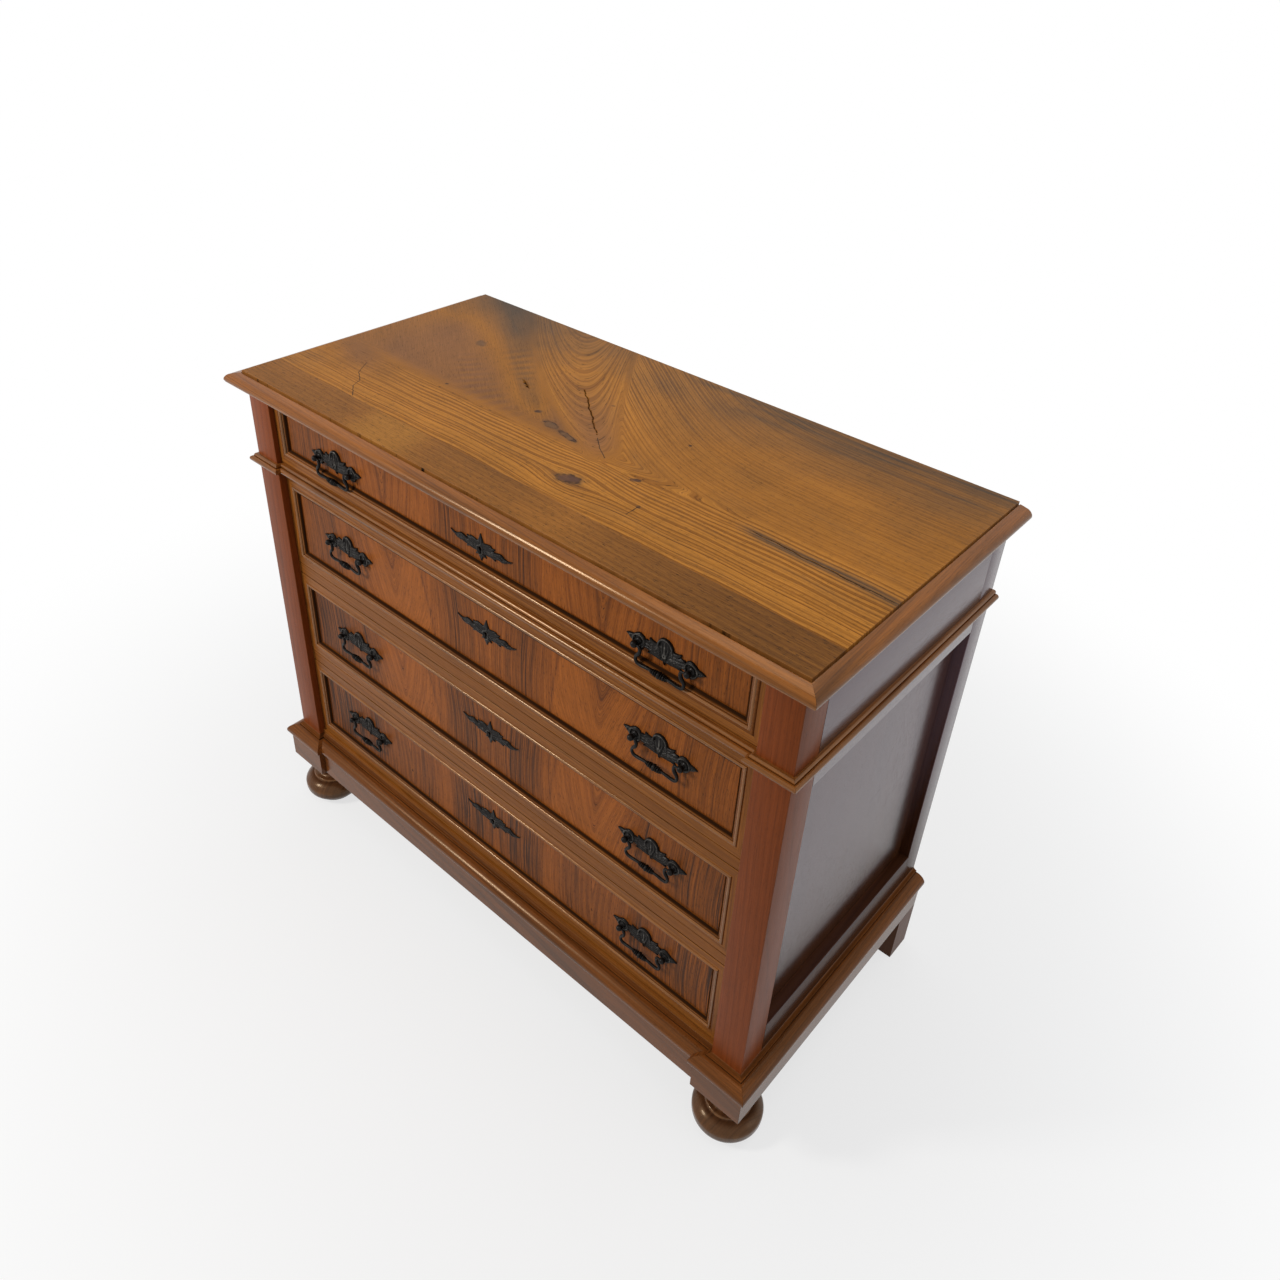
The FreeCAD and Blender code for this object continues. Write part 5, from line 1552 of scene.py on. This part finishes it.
def rod(shell: Shell, path: Array, radius: Array, around: int = 16, wear: float = 0.5) -> None:
    """Carry a round of changing radius along a path that lies in a plane of constant y.

    The section stands square to the path: one of its axes is y and the other is the path's normal.

    Args:
        shell: Shell that takes the rod.
        path: Points of the middle line.
        radius: Radius at each point.
        around: Points in a turn.
        wear: Wear on the side that faces the front.
    """
    ahead = np.gradient(path, axis=0)
    ahead /= np.linalg.norm(ahead, axis=1)[:, None]
    side = np.cross(ahead, Y)
    turn = np.linspace(0, math.tau, around, endpoint=False)
    ring = np.cos(turn)[None, :, None] * side[:, None, :] + np.sin(turn)[None, :, None] * -Y
    loops = path[:, None, :] + radius[:, None, None] * ring
    shell.tube(loops, loops, wear=wear * (0.5 + 0.5 * np.sin(turn))[None, :])


def ring_knots(x: float, z: float, radius: float, thick: float, first: float, last: float) -> tuple:
    """Knots of a ring: its middle line is a circle, walked from the first to the last degree."""
    turn = np.radians(np.linspace(first, last, 11))
    return tuple((x + radius * math.cos(a), z + radius * math.sin(a), thick) for a in turn)


HANDLE_STROKES = (
    [
        Stroke(((0, 9, 8.6), (0, 13.5, 8.6)), 1.2),
        Stroke(((0, 3, 2.4), (0, 12, 2.2), (0, 18.6, 1.5)), 2.9),
        Stroke(((0, -1.5, 4.6), (0, 0.5, 4.6)), 3.0, 0.35),
        Stroke(((0, -5, 3.6), (0, -9.5, 2.6), (0, -14.4, 0.8)), 2.4, 0.5),
    ]
    + both(
        Stroke(((11.6, 6, 1.5), (11.0, 13.5, 1.7), (8.6, 19.4, 1.7), (4.6, 22.8, 1.7), (0, 23.8, 1.7)), 2.8),
        Stroke(((3.9, 3, 1.9), (5.2, 11, 1.8), (4.9, 16.8, 1.2)), 2.5),
        Stroke(((0, 2, 9.5), (14, 2, 8.4), (28, 1.5, 7.0)), 0.8),
        Stroke(((9, 8, 2.4), (15, 9.4, 2.5), (20.5, 10.4, 2.5), (24.2, 13.2, 1.4)), 2.4, 0.3),
        Stroke(((8, 3.6, 2.3), (16, 4.8, 2.3), (24, 5.8, 2.2), (30, 7.8, 1.4)), 2.6, 0.3),
        Stroke(((8, -0.9, 2.3), (16, 0.3, 2.3), (24, 1.2, 2.3), (31, 2.2, 1.6)), 2.7, 0.3),
        Stroke(((7, -5.2, 2.2), (14, -4.2, 2.3), (22, -3.5, 2.3), (30, -2.6, 1.7)), 2.5, 0.3),
        Stroke(((4, -8.6, 1.6), (12, -8.0, 1.9), (20, -7.4, 1.8), (26.5, -9.3, 0.9)), 2.0),
        Stroke(((41.3, 1, 8.4), (41.5, 1, 8.4)), 0.9),
        Stroke(ring_knots(41.4, 1.0, 9.4, 1.9, 205, -150), 2.9),
        Stroke(((35, 9.4, 1.9), (39, 11.4, 1.7), (43, 11.6, 1.3)), 2.0),
        Stroke(((49, 4.6, 2.6), (54, 4.4, 2.3), (58.5, 3.7, 1.8), (62, 3.3, 0.6)), 2.4, 0.5),
        Stroke(((49.5, -2.4, 2.0), (54, -0.4, 1.8), (58, 1.6, 1.0)), 1.8, 0.4),
        Stroke(((36, -8.8, 1.8), (41, -11.0, 1.6), (46, -9.4, 1.2)), 2.0),
    )
)

ESCUTCHEON_STROKES = (
    [
        Stroke(((0, 2, 6.6), (0, 10, 5.4), (0, 17, 2.8), (0, 23.2, 0.7)), 2.0, 0.35),
        Stroke(((0, -2, 6.8), (0, -10, 5.2), (0, -15.5, 2.6), (0, -20.4, 0.6)), 1.9, 0.35),
        Stroke(((0, 5.8, 1.2), (4.6, 3.4, 1.3), (5.6, -1.5, 1.3), (4.4, -7, 1.3), (0, -10.2, 1.3)), 2.9),
        Stroke(((0, 5.8, 1.2), (-4.6, 3.4, 1.3), (-5.6, -1.5, 1.3), (-4.4, -7, 1.3), (0, -10.2, 1.3)), 2.9),
    ]
    + both(
        Stroke(((4, 6, 4.0), (10, 8.2, 3.2), (16, 10.0, 2.4), (21, 11.6, 1.0)), 2.3, 0.5),
        Stroke(((8, 2, 4.2), (16, 4.6, 3.6), (23, 7.2, 2.8), (28, 9.9, 0.8)), 2.5, 0.6),
        Stroke(((7, -3, 4.0), (14, -3.8, 3.4), (22, -4.0, 2.6), (29, -8.0, 0.9)), 2.2, 0.5),
        Stroke(((4, -8, 3.0), (8, -10.5, 1.8), (10, -12.4, 0.7)), 1.7),
        Stroke(((16, 1, 3.2), (25, 1.6, 3.0), (33, 3.8, 3.0), (40, 5.6, 2.4), (45, 4.4, 1.6)), 2.7, 0.4),
        Stroke(((20, -3, 2.6), (29, -2.6, 2.6), (37, -0.8, 2.6), (43, -3.6, 1.0)), 2.1, 0.5),
        Stroke(((34, 2.6, 2.4), (40, 1.2, 2.2), (45, -1.4, 2.0), (50, -0.4, 1.7), (52, 2.0, 1.2)), 2.3),
        Stroke(((44, 3.4, 2.4), (51, 1.9, 1.8), (57, 2.6, 1.4), (62.4, 5.2, 0.5)), 1.9, 0.4),
    )
)


def key_gap(x: Array, z: Array, radius: float = 2.8, slot: float = 1.2, drop: float = 8.0) -> Array:
    """Distance outside the keyhole: a round with a slot below it, in millimetres."""
    round_part = np.hypot(x, z) - radius
    slot_part = np.maximum(np.abs(x) - slot, np.maximum(-z - drop, z))
    return np.minimum(round_part, slot_part)


@dataclass
class DropHandle:
    """One handle: a cast plate with two ball posts, and the bail that hangs between them.

    Sizes of the casting are in millimetres. Each bead of the knop has its distance from the middle,
    its half length and its radius; stem has rows of distance and radius.
    """

    drawer: str
    label: str
    centre: float
    panel: float
    pivot: float
    reach: float
    half_spacing: float = 42.0
    ball: float = 5.0
    stem: tuple[tuple[float, float], ...] = (
        (0.0, 5.2), (2.4, 5.4), (3.2, 4.9), (3.9, 3.4), (4.7, 3.0), (5.5, 3.3), (6.1, 4.1), (6.5, 3.7),
    )
    beads: tuple[tuple[float, float, float], ...] = (
        (0.0, 3.3, 5.3), (4.4, 1.5, 4.7), (7.6, 1.9, 4.4), (10.6, 1.4, 3.7), (12.7, 0.9, 3.0),
    )

    def plate(self, shell: Shell) -> None:
        """Add the plate with its posts and balls.

        Args:
            shell: Shell of the drawer's two plates.
        """
        origin = np.array([self.centre, self.panel, self.pivot])
        Casting(HANDLE_STROKES, width=125, low=-15, high=25.5).add_to(shell, origin)
        turn = np.linspace(-0.75, 1.40, 14)
        ball = np.stack([self.reach + self.ball * np.sin(turn), self.ball * np.cos(turn)], -1)
        profile = np.concatenate([self.stem, ball, [(self.reach + self.ball, 0.35)]]) * MM
        for side in (-1, 1):
            start = origin + side * self.half_spacing * MM * X
            lathe(shell, profile, start, -Y, around=28, wear=0.75)

    def bail(self) -> None:
        """Make the bail: pins, two S-shaped sides, a bar and a leafy knop under its middle."""
        hinge = np.array([self.centre, self.panel - self.reach * MM, self.pivot])
        half = np.concatenate(
            [
                [(41.0, 0.0), (38.0, 0.0), (36.2, 0.0)],
                arc((36.2, 0.0), (33.3, -1.2), (32.0, -4.2), 5),
                [(32.0, -6.0)],
                arc((32.0, -6.0), (32.8, -9.2), (35.0, -12.4), 5),
                arc((35.0, -12.4), (37.6, -15.8), (38.5, -19.6), 5),
                arc((38.5, -19.6), (36.9, -24.4), (32.4, -26.3), 5),
                [(28.0, -26.4), (24.0, -26.0), (20.0, -25.5), (16.0, -25.2), (11.0, -25.2), (5.0, -25.4)],
            ]
        )
        line = np.concatenate([half, [(0.0, -25.5)], half[::-1] * (-1, 1)]) * MM
        aside, widths = (0, 8, 14, 22, 30, 34, 38, 42), (2.2, 2.0, 2.0, 2.4, 2.5, 2.4, 2.3, 1.6)
        radius = np.interp(np.abs(line[:, 0]) / MM, aside, widths) * MM
        radius = np.where(line[:, 1] > -0.5 * MM, 1.55 * MM, radius)
        swell = np.exp(-(((line[:, 1] / MM + 11.0) / 4.0) ** 2)) * 0.35 * MM
        path = hinge + FRONT.place(line[:, 0], line[:, 1], np.zeros(len(line)))
        shell = Shell()
        rod(shell, path, radius + swell, wear=0.55)
        bar = hinge - 25.6 * MM * Z
        t = np.linspace(-1.42, 1.42, 9)
        for at, long, size in self.beads:
            for side in (-1, 1) if at else (1,):
                profile = np.stack([at + long * np.sin(t), size * np.cos(t)], -1) * MM
                lathe(shell, profile, bar, side * X, 24, wear=0.8)
        name = f"{self.drawer}_bail_{self.label}"
        shell.piece(f"{name}_cast", name, DARK_BRONZE, [name], crease=50)


# ---------------------------------------------------------------- drawers


# how pointed the figure of each drawer's panel is, and how much painted shade darkens it:
# the lower drawers darker, standing for the light falling off towards the floor
PANEL_FIGURES_AND_SHADE = {1: (0.45, 0.04), 2: (0.9, 0.0), 3: (0.75, 0.17), 4: (0.15, 0.32)}


@dataclass
class Drawer:
    """A drawer's framed and veneered front with its bead, brasses and box."""

    number: int
    plane: float = 0.0
    panel: float = 0.0
    bottom: float = 0.0
    top: float = 0.0
    half: float = 0.0
    keyhole: float = 0.0
    handle: float = 0.0
    pivot: float = 0.0
    reach: float = 0.0
    frame_side: float = 13.5 * MM
    frame_rail: float = 16.5 * MM
    bead: float = 12.0 * MM
    sink: float = 6.0 * MM
    skin: float = 0.35 * MM

    def __post_init__(self) -> None:
        """Take the front's places from the frame."""
        self.name = f"drawer_{self.number}"
        front, plate = Span.of(f"{self.name}_front"), Span.of(f"{self.name}_escutcheon")
        self.panel = plate.high[1]
        self.plane = self.panel - self.sink
        self.bottom, self.top, self.half = front.low[2], front.high[2], front.high[0]
        self.keyhole = plate.high[2] - 24 * MM
        joints = {joint["name"]: joint for joint in frame["joints"]}
        swing = joints[f"{self.name}_bail_right_swing"]["pos_m"]
        self.handle, self.pivot = swing[0], swing[2]
        self.reach = (self.panel - swing[1]) / MM

    def build(self) -> None:
        """Make the front's veneers, bead and brasses, and dress the box."""
        self.frame_veneer()
        self.bead_run()
        self.panel_veneer()
        self.brasses()
        self.dress_box()

    def frame_veneer(self) -> None:
        """Four thin mitred strips: long grain above and below, upright grain at the ends."""
        x, low, high = self.half, self.bottom, self.top
        outer = np.array([(-x, low), (x, low), (x, high), (-x, high)])
        inner = outer + np.array([(1, 1), (-1, 1), (-1, -1), (1, -1)]) * (self.frame_side, self.frame_rail)
        rails, sides = Shell(), Shell()
        for number in range(4):
            after = (number + 1) % 4
            level = number % 2 == 0
            t = spread(0, 1, 0.02 if level else 0.1)[:, None, None]
            across = np.array([0.0, 0.03, 0.08, 0.2, 0.4, 0.6, 0.8, 0.92, 0.97, 1.0])[None, :, None]
            first = outer[number] + t * (outer[after] - outer[number])
            second = inner[number] + t * (inner[after] - inner[number])
            flat = first + across * (second - first)
            width = self.frame_rail if level else self.frame_side
            edge = np.minimum(across, 1 - across)[..., 0] * width
            height = self.skin + eased_edge(np.broadcast_to(edge, flat.shape[:2]), 0.5 * MM)
            points = FRONT.place(flat[..., 0], flat[..., 1], height - self.plane)
            base = FRONT.place(flat[..., 0], flat[..., 1], -0.8 * MM - self.plane + 0 * height)
            shift = (0.17 * self.number + 0.5 * number, 0.09 * self.number + 0.03 * number, 0.4)
            (rails if level else sides).slab(
                points, base, grain_of(points, Along.X if level else Along.Z, shift),
                wear=0.35 * smooth(-edge, -1.2 * MM, -0.2 * MM),
            )
        rails.piece(f"{self.name}_frame_rails", self.name, FRAME_WALNUT)
        sides.piece(f"{self.name}_frame_stiles", self.name, FRAME_WALNUT)

    def bead_run(self) -> None:
        """The mitred bead between frame and panel: a round crest, then a hollow."""
        width, sink, crest, skin = self.bead, self.sink, self.sink + 2 * MM, self.skin
        section = outline(
            (-0.2 * MM, 0), (-0.2 * MM, sink + skin),
            (0.22 * width, crest + skin, 0.47 * width, 0.85 * sink + skin),
            (0.56 * width, 0.84 * sink + skin),
            (0.8 * width, 0.64 * sink + skin, width + skin, 0.3 * sink), (width + skin, 0),
        )
        x, y = self.half - self.frame_side, self.panel
        low, high = self.bottom + self.frame_rail, self.top - self.frame_rail
        corners = np.array([(x, y, high), (-x, y, high), (-x, y, low), (x, y, low)])
        grains = (Along.X, Along.Z, Along.X, Along.Z)
        seed = 0.7 * self.number
        shell = Shell()
        mitred_run(shell, section * (-1, 1), corners, -Y, grains, closed=True, seed=seed, wear=self.bead_wear_and_shade)
        shell.piece(f"{self.name}_bead_moulding", self.name, MOULDING_WALNUT)

    def bead_wear_and_shade(self, section: Array) -> Array:
        """Wear round the bead: rubbed on its crest, with painted shade darkening its hollow by the panel.

        Args:
            section: Points of the bead's section, with the panel towards negative distances.

        Returns:
            One value for each point.
        """
        inwards, width = -section[:, 0], self.bead
        # painted shade: the hollow between crest and panel is darkened
        hollow = (inwards > 0.52 * width) & (section[:, 1] > 0)
        return np.where(hollow, -0.9 * smooth(inwards, 0.5 * width, 0.9 * width), section_wear_and_shade(section))

    def panel_veneer(self) -> None:
        """The sunk panel in book-matched upright veneer, pierced by the keyhole.

        Away is the distance from the middle, so the two halves mirror each other. Across is
        c - sqrt((away - c)^2 + e^2) - f (top - v), folded at c, so the lines there run down into
        points; f falls to 0 away from c. Hearts and bright wood lie in bands. Painted shade
        darkens the lower drawers' panels, the rim along the bead and the keyhole's pit.
        """
        inset_x, inset_z = self.frame_side + self.bead - MM, self.frame_rail + self.bead - MM
        x1, z0, z1 = self.half - inset_x, self.bottom + inset_z, self.top - inset_z
        us = spread(-x1, x1, 3.2 * MM, [(0.0, 7 * MM, 0.5 * MM)])
        vs = spread(z0, z1, 4.5 * MM, [(self.keyhole - 3 * MM, 7 * MM, 0.5 * MM)])
        u, v = np.meshgrid(us, vs, indexing="ij")
        pit = smooth(-key_gap(u / MM, (v - self.keyhole) / MM), -0.2, 0.4)
        height = self.skin - 14 * MM * pit + 0.12 * MM * np.sin(u * 23) * np.sin(v * 31)
        points = FRONT.place(u, v, height - self.panel)
        base = FRONT.place(u, v, -16 * MM - self.panel + 0 * height)
        pointed, painted_shade = PANEL_FIGURES_AND_SHADE[self.number]
        away = np.abs(u) - 0.004 * np.sign(u) + 0.003 * np.sin(v * 11 + self.number) + 0.002 * np.sin(v * 31)
        fold, down = 0.222, z1 - v
        beside = np.sqrt((away - fold) ** 2 + 0.004**2)
        slope = 0.33 * pointed * np.exp(-((beside / 0.085) ** 4))
        across = fold - beside - slope * down
        cone = across - fold
        border = away - 0.129 - 0.19 * (v - z0) * np.where(u < 0, 1.0, 0.5)
        heart = 0.50 * np.exp(-(((away - 0.070) / 0.042) ** 4))
        heart += 0.30 * np.exp(-(((away - 0.015) / 0.006) ** 2))
        heart -= 0.75 * pointed * smooth(border, -0.004, 0.008) * smooth(-away, -0.292, -0.245)
        heart += 0.95 * pointed * smooth(cone, -0.036, -0.012) * np.where(u < 0, 0.75, 1.0)
        heart += 0.75 * pointed * np.exp(-((border / 0.0028) ** 2))
        # darker towards the left end, more on the lower two drawers
        heart += (0.12 + 0.08 * (self.number > 2)) * smooth(-u, 0.12, 0.3)
        heart += (1 - pointed) * (
            0.5 * np.exp(-(((away - 0.176) / 0.018) ** 2)) - 0.8 * np.exp(-(((away - 0.128) / 0.015) ** 2))
        )
        # painted shade: the whole panel darker on the lower drawers
        heart += 0.30 * np.exp(-(((away - 0.315) / 0.014) ** 2)) + painted_shade
        heart += np.where(u < 0, 0.42, 0.30) * smooth(away, 0.345, 0.385)
        edge = within(u, v, (-x1, z0), (x1, z1))
        grain = np.stack([v + 0.21 * (self.number > 1), across, 0 * v], -1)
        calm = 0.6 * smooth(-u, 0.34, 0.37)
        shell = Shell()
        # painted shade: darker within 4.5 mm of the bead, and darker in the keyhole's pit
        wear = -0.6 * smooth(-edge, -4.5 * MM, 0.0) - pit
        shell.slab(points, base, grain, heart, wear, calm)
        shell.piece(f"{self.name}_panel_veneer", self.name, PANEL_WALNUT)

    def brasses(self) -> None:
        """The escutcheon, the two handle plates and the two bails."""
        shell = Shell()
        origin = np.array([0.0, self.panel - self.skin, self.keyhole])
        casting = Casting(ESCUTCHEON_STROKES, width=126, low=-21, high=24, plate=0.9, step=0.7, holes=key_gap)
        casting.add_to(shell, origin)
        shell.piece(f"{self.name}_key_plate", self.name, DARK_BRONZE, [f"{self.name}_escutcheon"], crease=50)
        plates = Shell()
        face = self.panel - self.skin
        for label, side in (("left", -1), ("right", 1)):
            handle = DropHandle(self.name, label, side * self.handle, face, self.pivot, self.reach)
            handle.plate(plates)
            handle.bail()
        replaced = [f"{self.name}_handle_plates"]
        plates.piece(f"{self.name}_cast_plates", self.name, DARK_BRONZE, replaced, crease=50)

    def dress_box(self) -> None:
        """Give the front's core, the box, its bottom and the lock their finishes."""
        core = plain_board("walnut_core", "walnut_figured", Along.X, *CORE_WALNUT, 0.5)
        side = plain_board("oak_side", "oak", Along.Y, *OAK, 0.55)
        floor = plain_board("oak_bottom", "oak", Along.X, *OAK, 0.6)
        dress_nodes(core, (f"{self.name}_front",))
        dress_nodes(side, (f"{self.name}_box",))
        dress_nodes(floor, (f"{self.name}_bottom",))
        dress_nodes(STEEL, (f"{self.name}_lock", f"{self.name}_lock_bolt"))


# ---------------------------------------------------------------- stage


@dataclass
class Studio:
    """Pale floor, soft lamps and the camera."""

    eye: tuple[float, float, float] = (0.9345, -1.0348, 1.6449)
    turn: float = 0.685
    dip: float = 0.579
    tilt: float = 0.056
    lens: float = 29.78
    shift: tuple[float, float] = (0.0022, -0.0729)
    size: float = 30.0
    floor_glow: float = 0.7

    def build(self) -> None:
        """Make the floor, the world, the lamps and the camera."""
        scene = bpy.context.scene
        scene.view_settings.view_transform = "Standard"
        self.floor()
        self.world()
        self.lamps()
        self.camera()

    def floor(self) -> None:
        """A wide pale floor that shows white and keeps the chest's shadow."""
        h = self.size
        mesh = bpy.data.meshes.new("studio_floor")
        mesh.from_pydata([(-h, -h, 0), (h, -h, 0), (h, h, 0), (-h, h, 0)], [], [(0, 1, 2, 3)])
        floor = bpy.data.objects.new("studio_floor", mesh)
        bpy.context.scene.collection.objects.link(floor)
        g = Graph("studio_floor")
        paths = g.add("ShaderNodeLightPath").outputs
        mirrored = g.math("MAXIMUM", paths["Is Glossy Ray"], paths["Is Transmission Ray"])
        seen = g.math("MAXIMUM", paths["Is Camera Ray"], mirrored)
        tone = g.mix(paths["Is Diffuse Ray"], (0.86, 0.86, 0.86), (0.40, 0.40, 0.40))
        matt = g.add("ShaderNodeBsdfDiffuse", {"Color": tone}).outputs[0]
        glow = g.add("ShaderNodeEmission", {"Color": (1, 1, 1, 1), "Strength": 1.0}).outputs[0]
        place = g.add("ShaderNodeTexCoord").outputs["Object"]
        far = g.add("ShaderNodeVectorMath", {0: place}, operation="LENGTH").outputs["Value"]
        share = g.math("MULTIPLY", seen, g.span(far, 0.7, 1.7, self.floor_glow, 1.0))
        mixed = g.add("ShaderNodeMixShader", {0: share, 1: matt, 2: glow}).outputs[0]
        g.add("ShaderNodeOutputMaterial", {"Surface": mixed})
        mesh.materials.append(g.material)

    def world(self) -> None:
        """White to the camera and in reflections, and a plain grey level as light."""
        world = bpy.data.worlds.new("studio")
        bpy.context.scene.world = world
        world.use_nodes = True
        tree = world.node_tree
        tree.nodes.clear()
        new = tree.nodes.new
        paths, white, grey, mix, out = (
            new("ShaderNodeLightPath"), new("ShaderNodeBackground"), new("ShaderNodeBackground"),
            new("ShaderNodeMixShader"), new("ShaderNodeOutputWorld"),
        )
        white.inputs[0].default_value = (1, 1, 1, 1)
        white.inputs[1].default_value = 1.0
        grey.inputs[0].default_value = (0.94, 0.97, 1.0, 1)
        grey.inputs[1].default_value = 0.34
        either, bright = new("ShaderNodeMath"), new("ShaderNodeMath")
        either.operation = bright.operation = "MAXIMUM"
        tree.links.new(paths.outputs["Is Camera Ray"], either.inputs[0])
        tree.links.new(paths.outputs["Is Transmission Ray"], either.inputs[1])
        tree.links.new(either.outputs[0], bright.inputs[0])
        tree.links.new(paths.outputs["Is Glossy Ray"], bright.inputs[1])
        tree.links.new(bright.outputs[0], mix.inputs[0])
        tree.links.new(grey.outputs[0], mix.inputs[1])
        tree.links.new(white.outputs[0], mix.inputs[2])
        tree.links.new(mix.outputs[0], out.inputs[0])

    def lamp(
        self,
        name: str,
        place: Sequence[float],
        aim: Sequence[float],
        size: tuple[float, float],
        power: float,
        tint: Colour,
    ) -> None:
        """Hang one soft rectangular lamp.

        Args:
            name: Name of the lamp.
            place: Where it hangs.
            aim: Point that it faces.
            size: Width and height.
            power: Power in watts.
            tint: Colour of the light.
        """
        data = bpy.data.lights.new(name, "AREA")
        data.shape = "RECTANGLE"
        data.size, data.size_y = size
        data.energy = power
        data.color = tint
        lamp = bpy.data.objects.new(name, data)
        back = np.asarray(place, float) - np.asarray(aim, float)
        back /= np.linalg.norm(back)
        right = np.cross(Z, back)
        right /= np.linalg.norm(right)
        self.pose(lamp, place, right, np.cross(back, right), back)
        bpy.context.scene.collection.objects.link(lamp)

    def pose(
        self, thing: bpy.types.Object, place: Sequence[float], right: Array, up: Array, back: Array
    ) -> None:
        """Place a lamp or camera by its three axes.

        Args:
            thing: Lamp or camera.
            place: Where it stands.
            right: Its x axis.
            up: Its y axis.
            back: Its z axis, away from what it faces.
        """
        matrix = np.eye(4)
        matrix[:3, 0], matrix[:3, 1], matrix[:3, 2], matrix[:3, 3] = right, up, back, place
        thing.matrix_world = Matrix(matrix.tolist())

    def lamps(self) -> None:
        """A window-like key from the front left, a wide fill above and a low one behind."""
        self.lamp("window", (-1.6, -2.2, 2.3), (0.0, 0.0, 0.5), (0.5, 0.7), 48.0, (1.0, 0.97, 0.93))
        self.lamp("ceiling", (0.2, 0.4, 3.2), (0.0, 0.0, 0.5), (2.6, 2.2), 29.0, (1.0, 0.99, 0.97))
        self.lamp("doorway", (2.8, 0.6, 1.4), (0.2, 0.0, 0.5), (1.2, 1.8), 5.0, (0.86, 0.90, 1.0))

    def camera(self) -> None:
        """Set the camera by its turn about the upright, its dip and its tilt."""
        level = math.cos(self.dip)
        back = np.array([math.sin(self.turn) * level, -math.cos(self.turn) * level, math.sin(self.dip)])
        right = np.cross(-back, Z)
        right /= np.linalg.norm(right)
        up = np.cross(right, -back)
        c, s = math.cos(self.tilt), math.sin(self.tilt)
        data = bpy.data.cameras.new("view")
        data.sensor_width = 36.0
        data.sensor_fit = "HORIZONTAL"
        data.lens = self.lens
        data.shift_x, data.shift_y = self.shift
        camera = bpy.data.objects.new("view", data)
        self.pose(camera, self.eye, c * right + s * up, c * up - s * right, back)
        bpy.context.scene.collection.objects.link(camera)
        bpy.context.scene.camera = camera


def main() -> None:
    """Build the chest piece by piece, then the studio."""
    logging.basicConfig(level=logging.INFO, format="%(name)s: %(message)s")
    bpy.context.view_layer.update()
    ChestTop().build()
    Carcass().build()
    for label in ("left", "right"):
        foot = Span.of(f"bun_foot_{label}")
        centre = (foot.low + foot.high) / 2
        BunFoot(label, centre[0], centre[1]).build()
    for number in (1, 2, 3, 4):
        Drawer(number).build()
    Studio().build()


if __name__ == "__main__":
    main()
